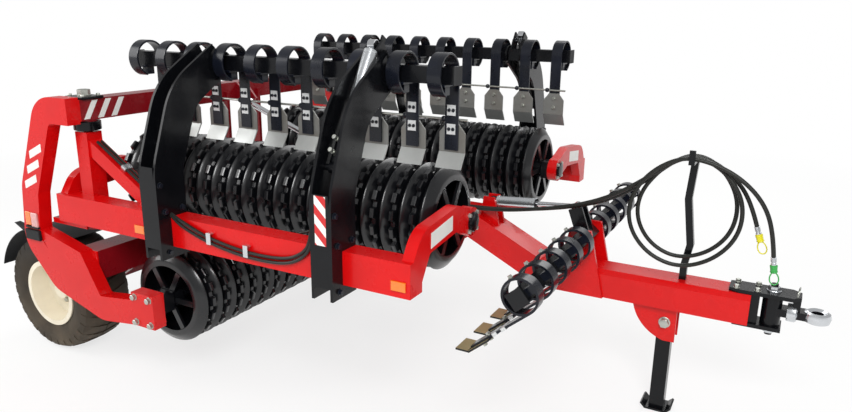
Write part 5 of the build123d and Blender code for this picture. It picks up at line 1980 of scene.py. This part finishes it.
@dataclass
class DrawbarTrim:
    """Bolts of the leg and the towing head, the head's pin nuts, ring and eye, and the tip pins' caps."""

    leg: Flat = (1.640, 0.550)
    leg_face: float = 0.060
    leg_bolt: HexBolt = HexBolt(0.046, 0.024, 0.064, 0.005)
    head_top: float = 0.820
    head_x: Flat = (1.975, 2.075)
    head_y: float = 0.048
    head_bolt: HexBolt = HexBolt(0.024, 0.014, 0.034)
    pin_x: float = 2.150
    nut_z: Flat = (0.8205, 0.6195)
    nut: tuple[Flat, ...] = ((0.036, 0.0), (0.036, 0.004), (0.030, 0.005), (0.030, 0.024), (0.026, 0.028))
    eye_x: float = 2.360
    eye_z: float = 0.720
    eye: tuple[Flat, ...] = (
        (0.0265, -0.019), (0.046, -0.030), (0.060, -0.023), (0.0655, 0.0), (0.060, 0.023),
        (0.046, 0.030), (0.0265, 0.019),
    )
    eye_sides: int = 48
    neck_x: float = 2.222
    neck: tuple[Flat, ...] = ((0.046, 0.0), (0.048, 0.004), (0.048, 0.040), (0.040, 0.048))
    neck_sides: int = 32
    wire_at: Point = (2.262, -0.036, 0.845)
    wire_size: Point = (0.004, 0.030, 0.028)
    wire_r: float = 0.0028
    wire_steps: int = 32
    wire_sides: int = 8
    cap_at: Point = (-1.450, 0.170, 1.100)
    cap: tuple[Flat, ...] = ((0.058, -0.001), (0.058, 0.008), (0.052, 0.012), (0.018, 0.013))

    def build(self) -> None:
        """Makes the drawbar's small pieces."""
        spots = [((self.leg[0], out * self.leg_face, self.leg[1]), (0, out, 0)) for out in (1, -1)]
        bolts("leg_bolts", spots, self.leg_bolt, "main_frame")
        places = [(x, y, self.head_top) for x in self.head_x for y in (-self.head_y, self.head_y)]
        places.append((self.pin_x, 0, self.head_top))
        bolts("head_bolts", [(place, (0, 0, 1)) for place in places], self.head_bolt, "main_frame")
        eye = Shape()
        eye.lathe(list(self.eye), self.eye_sides, Axis.Z, (self.eye_x, 0, self.eye_z))
        eye.lathe(list(self.neck), self.neck_sides, Axis.X, (self.neck_x, 0, self.eye_z), closed=False)
        put("towing_eye", eye.mesh("eye"), "silver", "main_frame", "zinc_plate")
        nuts = Shape()
        for z, way in zip(self.nut_z, (1, -1)):
            profile = [(radius, run * way) for radius, run in self.nut]
            nuts.lathe(profile, HEXAGON, Axis.Z, (self.pin_x, 0, z), closed=False)
        put("pin_nuts", nuts.mesh("nuts"), "silver", "main_frame", "zinc_plate")
        ring = Shape().tube(self.wire(), self.wire_r, self.wire_sides)
        put("lynch_ring", ring.mesh("ring"), "bolt", "main_frame", "zinc_plate")
        caps = Shape()
        x, y, z = self.cap_at
        for out in (1, -1):
            profile = [(radius, run * out) for radius, run in self.cap]
            caps.lathe(profile, ROUND, Axis.Y, (x, out * y, z), closed=False)
        put("tip_pin_caps", caps.mesh("caps"), "black", "main_frame", "black_paint")

    def wire(self) -> list[Vector]:
        """Round path of the lynch ring's wire, its end on its start.

        Returns:
            The path's points.
        """
        line = []
        for k in range(self.wire_steps + 1):
            a = 2 * math.pi * k / self.wire_steps
            turn = (math.sin(a), math.cos(a), math.sin(a))
            parts = zip(self.wire_at, self.wire_size, turn)
            line.append(Vector([mid + size * share for mid, size, share in parts]))
        return line


# Top of the hose post's hook, then each free hose: its start, and its route as offsets from the hook
HOOK: Point = (1.700, 0.0, 1.490)
INNER_START: Point = (0.440, -0.080, 1.050)
INNER_ROUTE: tuple[Point, ...] = (
    (-1.060, -0.082, -0.432), (-0.840, -0.084, -0.400), (-0.610, -0.082, -0.352), (-0.400, -0.076, -0.280),
    (-0.240, -0.064, -0.165), (-0.060, -0.048, 0), (0.060, -0.042, 0), (0.170, -0.041, -0.090),
    (0.235, -0.044, -0.230), (0.215, -0.050, -0.390), (0.110, -0.056, -0.510), (-0.040, -0.062, -0.560),
    (-0.180, -0.068, -0.500), (-0.262, -0.075, -0.370), (-0.255, -0.083, -0.220), (-0.160, -0.087, -0.080),
    (-0.050, -0.082, 0), (0.062, -0.077, 0), (0.190, -0.074, -0.075), (0.285, -0.076, -0.190),
    (0.330, -0.079, -0.320),
)
OUTER_START: Point = (0.440, -0.113, 1.050)
OUTER_ROUTE: tuple[Point, ...] = (
    (-1.060, -0.114, -0.430), (-0.840, -0.117, -0.392), (-0.610, -0.118, -0.340), (-0.410, -0.119, -0.262),
    (-0.245, -0.117, -0.150), (-0.062, -0.113, 0), (0.060, -0.110, 0), (0.180, -0.110, -0.075),
    (0.262, -0.112, -0.210), (0.255, -0.116, -0.380), (0.150, -0.120, -0.520), (-0.010, -0.124, -0.590),
    (-0.170, -0.128, -0.545), (-0.280, -0.132, -0.420), (-0.300, -0.137, -0.260), (-0.215, -0.142, -0.100),
    (-0.070, -0.146, 0), (0.060, -0.145, 0), (0.215, -0.139, -0.060), (0.340, -0.135, -0.170),
    (0.405, -0.132, -0.310), (0.425, -0.130, -0.450),
)


@dataclass
class Hose:
    """Free hydraulic hose from its block over the hook, with its quick coupler."""

    name: str
    start: Point
    offsets: tuple[Point, ...]
    length: float
    handle: str
    radius: float = 0.011
    coupler_r: float = 0.014
    coupler_l: float = 0.052
    grip_r: float = 0.0185
    grip_l: float = 0.030
    sleeve_sides: int = 32
    grip_sides: int = 28
    grooves: int = 4
    groove_start: float = 0.004
    groove_pitch: float = 0.005
    groove_deep: float = 0.0012
    loop_r: float = 0.033
    loop_steps: int = 36
    loop_flat: float = 0.7
    loop_neck: float = 0.62
    loop_sunk: float = 0.004
    wire_r: float = 0.0032
    wire_sides: int = 8

    def points(self) -> list[Vector]:
        """Route in the machine's own frame."""
        return [Vector(self.start)] + [Vector(HOOK) + Vector(p) for p in self.offsets]

    def build(self) -> bpy.types.Object:
        """Makes the hose's curve and the coupler on its end.

        Returns:
            The hose's curve.
        """
        points = self.points()
        data = bpy.data.curves.new(f"free_{self.name}", "CURVE")
        data.dimensions = "3D"
        line = data.splines.new("NURBS")
        line.points.add(len(points) - 1)
        for knot, p in zip(line.points, points):
            knot.co = (p.x, p.y, p.z, 1.0)
        line.order_u = 3
        line.use_endpoint_u = True
        line.resolution_u = 8
        data.bevel_depth = self.radius
        data.bevel_resolution = 4
        data.use_fill_caps = True
        data.materials.append(material("hose"))
        hose = bpy.data.objects.new(f"free_{self.name}", data)
        bpy.context.scene.collection.objects.link(hose)
        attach(hose, "main_frame")
        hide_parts(self.name)
        pieces = self.coupler(points[-1], (points[-1] - points[-2]).normalized())
        return hose

    def coupler(self, end: Vector, way: Vector) -> list[bpy.types.Object]:
        """Crimped ferrule, knurled sleeve and loop handle at the hose's end.

        Args:
            end: last point of the hose.
            way: direction in which the hose ends.

        Returns:
            The metal piece and the grip.
        """
        place = along(end, way)
        metal = Shape()
        metal.lathe(self.sleeve(), self.sleeve_sides, Axis.Z, closed=False)
        mesh = metal.mesh("coupler")
        mesh.transform(place)
        body = put(f"{self.name}_coupler", mesh, "silver", "main_frame", "zinc_plate", "hose_couplers")
        grip = Shape()
        run, g, top = self.coupler_l, self.grip_r, self.coupler_l + self.grip_l
        waist = [(g - 0.004, run - 0.012), (g, run - 0.008), (g - 0.002, run + 0.010)]
        waist += [(g - 0.002, top - 0.012), (g, top - 0.006), (g - 0.005, top)]
        grip.lathe(waist, self.grip_sides, Axis.Z, closed=False)
        grip.tube(self.loop(top - self.loop_sunk), self.wire_r, self.wire_sides)
        mesh = grip.mesh("grip")
        mesh.transform(place)
        ring = put(f"{self.name}_grip", mesh, self.handle, "main_frame", "green_plastic")
        return [body, ring]

    def sleeve(self) -> list[Flat]:
        """Section of the ferrule with its grooves and of the sleeve, as radius and distance.

        Returns:
            The section's points.
        """
        r, run = self.coupler_r, self.coupler_l
        deep = r - self.groove_deep
        profile = [(r - 0.002, 0.0), (r, 0.001)]
        for k in range(self.grooves):
            at = self.groove_start + self.groove_pitch * k
            profile += [(r, at), (deep, at + 0.0015), (deep, at + 0.003), (r, at + 0.0045)]
        profile += [(r - 0.003, 0.027), (r - 0.003, 0.032), (r - 0.0005, 0.033), (r, 0.036)]
        return profile + [(r, run - 0.012), (r - 0.002, run - 0.009), (r - 0.004, run)]

    def loop(self, base: float) -> list[Vector]:
        """Path of the loop handle's wire, narrow at its foot.

        Args:
            base: distance of the loop's foot from the hose's end.

        Returns:
            Points of the path.
        """
        line = []
        for k in range(self.loop_steps + 1):
            a = 2 * math.pi * k / self.loop_steps
            wide = self.loop_neck + (1 - self.loop_neck) * math.sin(a / 2)
            y = self.loop_flat * self.loop_r * math.sin(a) * wide
            line.append(Vector((0, y, base + self.loop_r * (1 - math.cos(a)))))
        return line


def dress() -> None:
    """Gives every carried-over CAD node its finish."""
    for name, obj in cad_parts.items():
        key = finish_of(name)
        for slot in obj.material_slots:
            slot.material = material(key)
        if not obj.material_slots:
            obj.data.materials.append(material(key))


def finish_of(node: str) -> str:
    """Key of the finish for a CAD node, by the first word of the table that its name holds.

    Args:
        node: name of the node.

    Returns:
        The finish's key.
    """
    table = (
        ("tyre", "tyre"),
        ("rim", "cream"),
        ("rings", "iron"),
        ("shaft", "iron"),
        ("plates", "plate"),
        ("couplers", "green"),
        ("pipes", "hose"),
        ("hose_inner", "hose"),
        ("hose_outer", "hose"),
        ("mudguard", "plastic"),
        ("rear_frame", "frame_red"),
        ("main_frame", "red"),
        ("wing_beam", "red"),
        ("tines", "spring"),
        ("rod", "chrome"),
    )
    for word, key in table:
        if word in node:
            return key
    return "black"


@dataclass(frozen=True)
class Studio:
    """Pale floor, soft lamps and the camera at the photograph's angle.

    The floor's own light grows from near_glow to full between the distances in glow_reach.
    lights holds each lamp's name, place, power in watts and edge length. air is the
    world's strength on surfaces.
    """

    eye: Point = (2.152, -3.822, 2.193)
    yaw: float = 28.18
    pitch: float = 15.6
    roll: float = 0.7
    focal_px: float = 700.0
    width_px: int = 852
    sensor: float = 36.0
    far: float = 200.0
    floor_half: float = 60
    floor_z: float = -0.001
    paper: tuple[str, str] = ("F7F7F6", "F3F3F2")
    paper_scale: float = 3.0
    paper_rough: float = 0.9
    near_glow: float = 0.74
    glow_reach: Flat = (2.5, 9.0)
    lights: tuple[tuple[str, Point, float, float], ...] = (
        ("key", (3.5, -6.5, 6.0), 520, 3.0),
        ("fill", (-6.0, -4.0, 4.0), 190, 4.0),
        ("back", (1.0, 6.0, 6.5), 260, 5.0),
    )
    aim: Point = (0, 0, 0.9)
    air: float = 0.5

    def camera(self) -> None:
        """Creates the camera and makes it the scene's."""
        data = bpy.data.cameras.new("camera")
        data.sensor_fit = "HORIZONTAL"
        data.sensor_width = self.sensor
        data.lens = self.sensor * self.focal_px / self.width_px
        data.clip_end = self.far
        cam = bpy.data.objects.new("camera", data)
        bpy.context.scene.collection.objects.link(cam)
        yaw, pitch, roll = (math.radians(v) for v in (self.yaw, self.pitch, self.roll))
        turn = Matrix.Rotation(yaw, 4, "Z") @ Matrix.Rotation(math.pi / 2 - pitch, 4, "X")
        turn = turn @ Matrix.Rotation(roll, 4, "Z")
        cam.matrix_world = Matrix.Translation(self.eye) @ turn
        bpy.context.scene.camera = cam

    def floor(self) -> None:
        """Wide flat floor of pale studio paper."""
        shape = Shape()
        corners = box_outline(0, 0, 2 * self.floor_half, 2 * self.floor_half)
        verts = [shape.bm.verts.new((u, v, self.floor_z)) for u, v in corners]
        shape.bm.faces.new(verts)
        mesh = bpy.data.meshes.new("floor")
        shape.bm.to_mesh(mesh)
        shape.bm.free()
        obj = bpy.data.objects.new("floor", mesh)
        bpy.context.scene.collection.objects.link(obj)
        mesh.materials.append(self.floor_material())

    def floor_material(self) -> bpy.types.Material:
        """Matt white paper: shows near white to the camera and in gloss, and keeps the shadow.

        Returns:
            The floor's material.
        """
        mat = bpy.data.materials.new("studio paper")
        mat.use_nodes = True
        tree = mat.node_tree
        tree.nodes.clear()
        spot = add_node(tree, "ShaderNodeTexCoord").outputs["Object"]
        grain = add_node(
            tree, "ShaderNodeTexNoise", values={"Scale": self.paper_scale}, links={"Vector": spot}
        ).outputs["Fac"]
        tone = add_node(
            tree,
            "ShaderNodeMix",
            settings={"data_type": "RGBA"},
            values={6: linear(self.paper[0]), 7: linear(self.paper[1])},
            links={0: grain},
        ).outputs[2]
        paper = add_node(
            tree,
            "ShaderNodeBsdfPrincipled",
            values={"Roughness": self.paper_rough},
            links={"Base Color": tone},
        )
        glow = add_node(tree, "ShaderNodeEmission", values={"Color": linear("FFFFFF"), "Strength": 1.0})
        ray = add_node(tree, "ShaderNodeLightPath")
        seen = add_node(
            tree,
            "ShaderNodeMath",
            settings={"operation": "ADD", "use_clamp": True},
            links={0: ray.outputs["Is Camera Ray"], 1: ray.outputs["Is Glossy Ray"]},
        )
        away = add_node(
            tree, "ShaderNodeVectorMath", settings={"operation": "LENGTH"}, links={0: spot}
        ).outputs["Value"]
        near, far = self.glow_reach
        glow_share = add_node(
            tree,
            "ShaderNodeMapRange",
            values={"From Min": near, "From Max": far, "To Min": self.near_glow, "To Max": 1.0},
            links={"Value": away},
        ).outputs["Result"]
        share = add_node(
            tree,
            "ShaderNodeMath",
            settings={"operation": "MULTIPLY"},
            links={0: seen.outputs[0], 1: glow_share},
        )
        mixed = add_node(
            tree,
            "ShaderNodeMixShader",
            links={0: share.outputs[0], 1: paper.outputs["BSDF"], 2: glow.outputs[0]},
        )
        add_node(tree, "ShaderNodeOutputMaterial", links={"Surface": mixed.outputs[0]})
        return mat

    def lamps(self) -> None:
        """Large soft lamps, and a pale world."""
        for name, spot, power, size in self.lights:
            data = bpy.data.lights.new(name, "AREA")
            data.energy = power
            data.size = size
            lamp = bpy.data.objects.new(name, data)
            bpy.context.scene.collection.objects.link(lamp)
            aim = Vector(self.aim) - Vector(spot)
            lamp.matrix_world = Matrix.Translation(spot) @ aim.to_track_quat("-Z", "Y").to_matrix().to_4x4()
        world = bpy.data.worlds.new("studio air")
        bpy.context.scene.world = world
        world.use_nodes = True
        tree = world.node_tree
        tree.nodes.clear()
        white = linear("FFFFFF")
        ground = add_node(tree, "ShaderNodeBackground", values={"Color": white, "Strength": self.air})
        seen = add_node(tree, "ShaderNodeBackground", values={"Color": white, "Strength": 1.0})
        ray = add_node(tree, "ShaderNodeLightPath")
        direct = add_node(
            tree,
            "ShaderNodeMath",
            settings={"operation": "ADD", "use_clamp": True},
            links={0: ray.outputs["Is Camera Ray"], 1: ray.outputs["Is Transmission Ray"]},
        )
        mixed = add_node(
            tree,
            "ShaderNodeMixShader",
            links={0: direct.outputs[0], 1: ground.outputs[0], 2: seen.outputs[0]},
        )
        add_node(tree, "ShaderNodeOutputWorld", links={"Surface": mixed.outputs[0]})
        bpy.context.scene.view_settings.view_transform = "Standard"

    def build(self) -> None:
        """Sets up the studio."""
        self.floor()
        self.lamps()
        self.camera()


def main() -> None:
    """Builds the land roller's pieces in order."""
    logging.basicConfig(level=logging.INFO, format="%(message)s")
    Studio().build()
    Hose("hose_inner", INNER_START, INNER_ROUTE, 3.475, "yellow").build()
    Hose("hose_outer", OUTER_START, OUTER_ROUTE, 3.807, "green").build()
    dress()
    half = CENTRE_PAIRS * RING_PITCH / 2
    across = Matrix.Translation((CENTRE_X, half, CENTRE_Z)) @ Matrix.Rotation(math.radians(90), 4, "X")
    RingGang("centre_ring_gang", "centre_gang", "centre_rings", CENTRE_PAIRS).build(across)
    # Once its wing is turned out, a wing gang starts GANG_LAP inside the centre gang's end
    wing_x0 = WING_HINGE[0] + half - GANG_LAP - WING_HINGE[1]
    for side in Side:
        start = Matrix.Translation((wing_x0, side.value * WING_GANG[0], WING_GANG[1]))
        lengthways = start @ Matrix.Rotation(math.radians(90), 4, "Y")
        word = side.word
        gang = RingGang(f"wing_ring_gang_{word}", f"wing_gang_{word}", f"wing_rings_{word}", WING_PAIRS)
        gang.build(lengthways)
        Wheel(side).build()
        SideArmTrim(side).build()
        WingTrim(side).build()
        BoardCylinder(side).build()
        WingBoard(side).build()
    CentreCylinder().build()
    CentreBoard().build()
    DrawbarTrim().build()


if __name__ == "__main__":
    main()
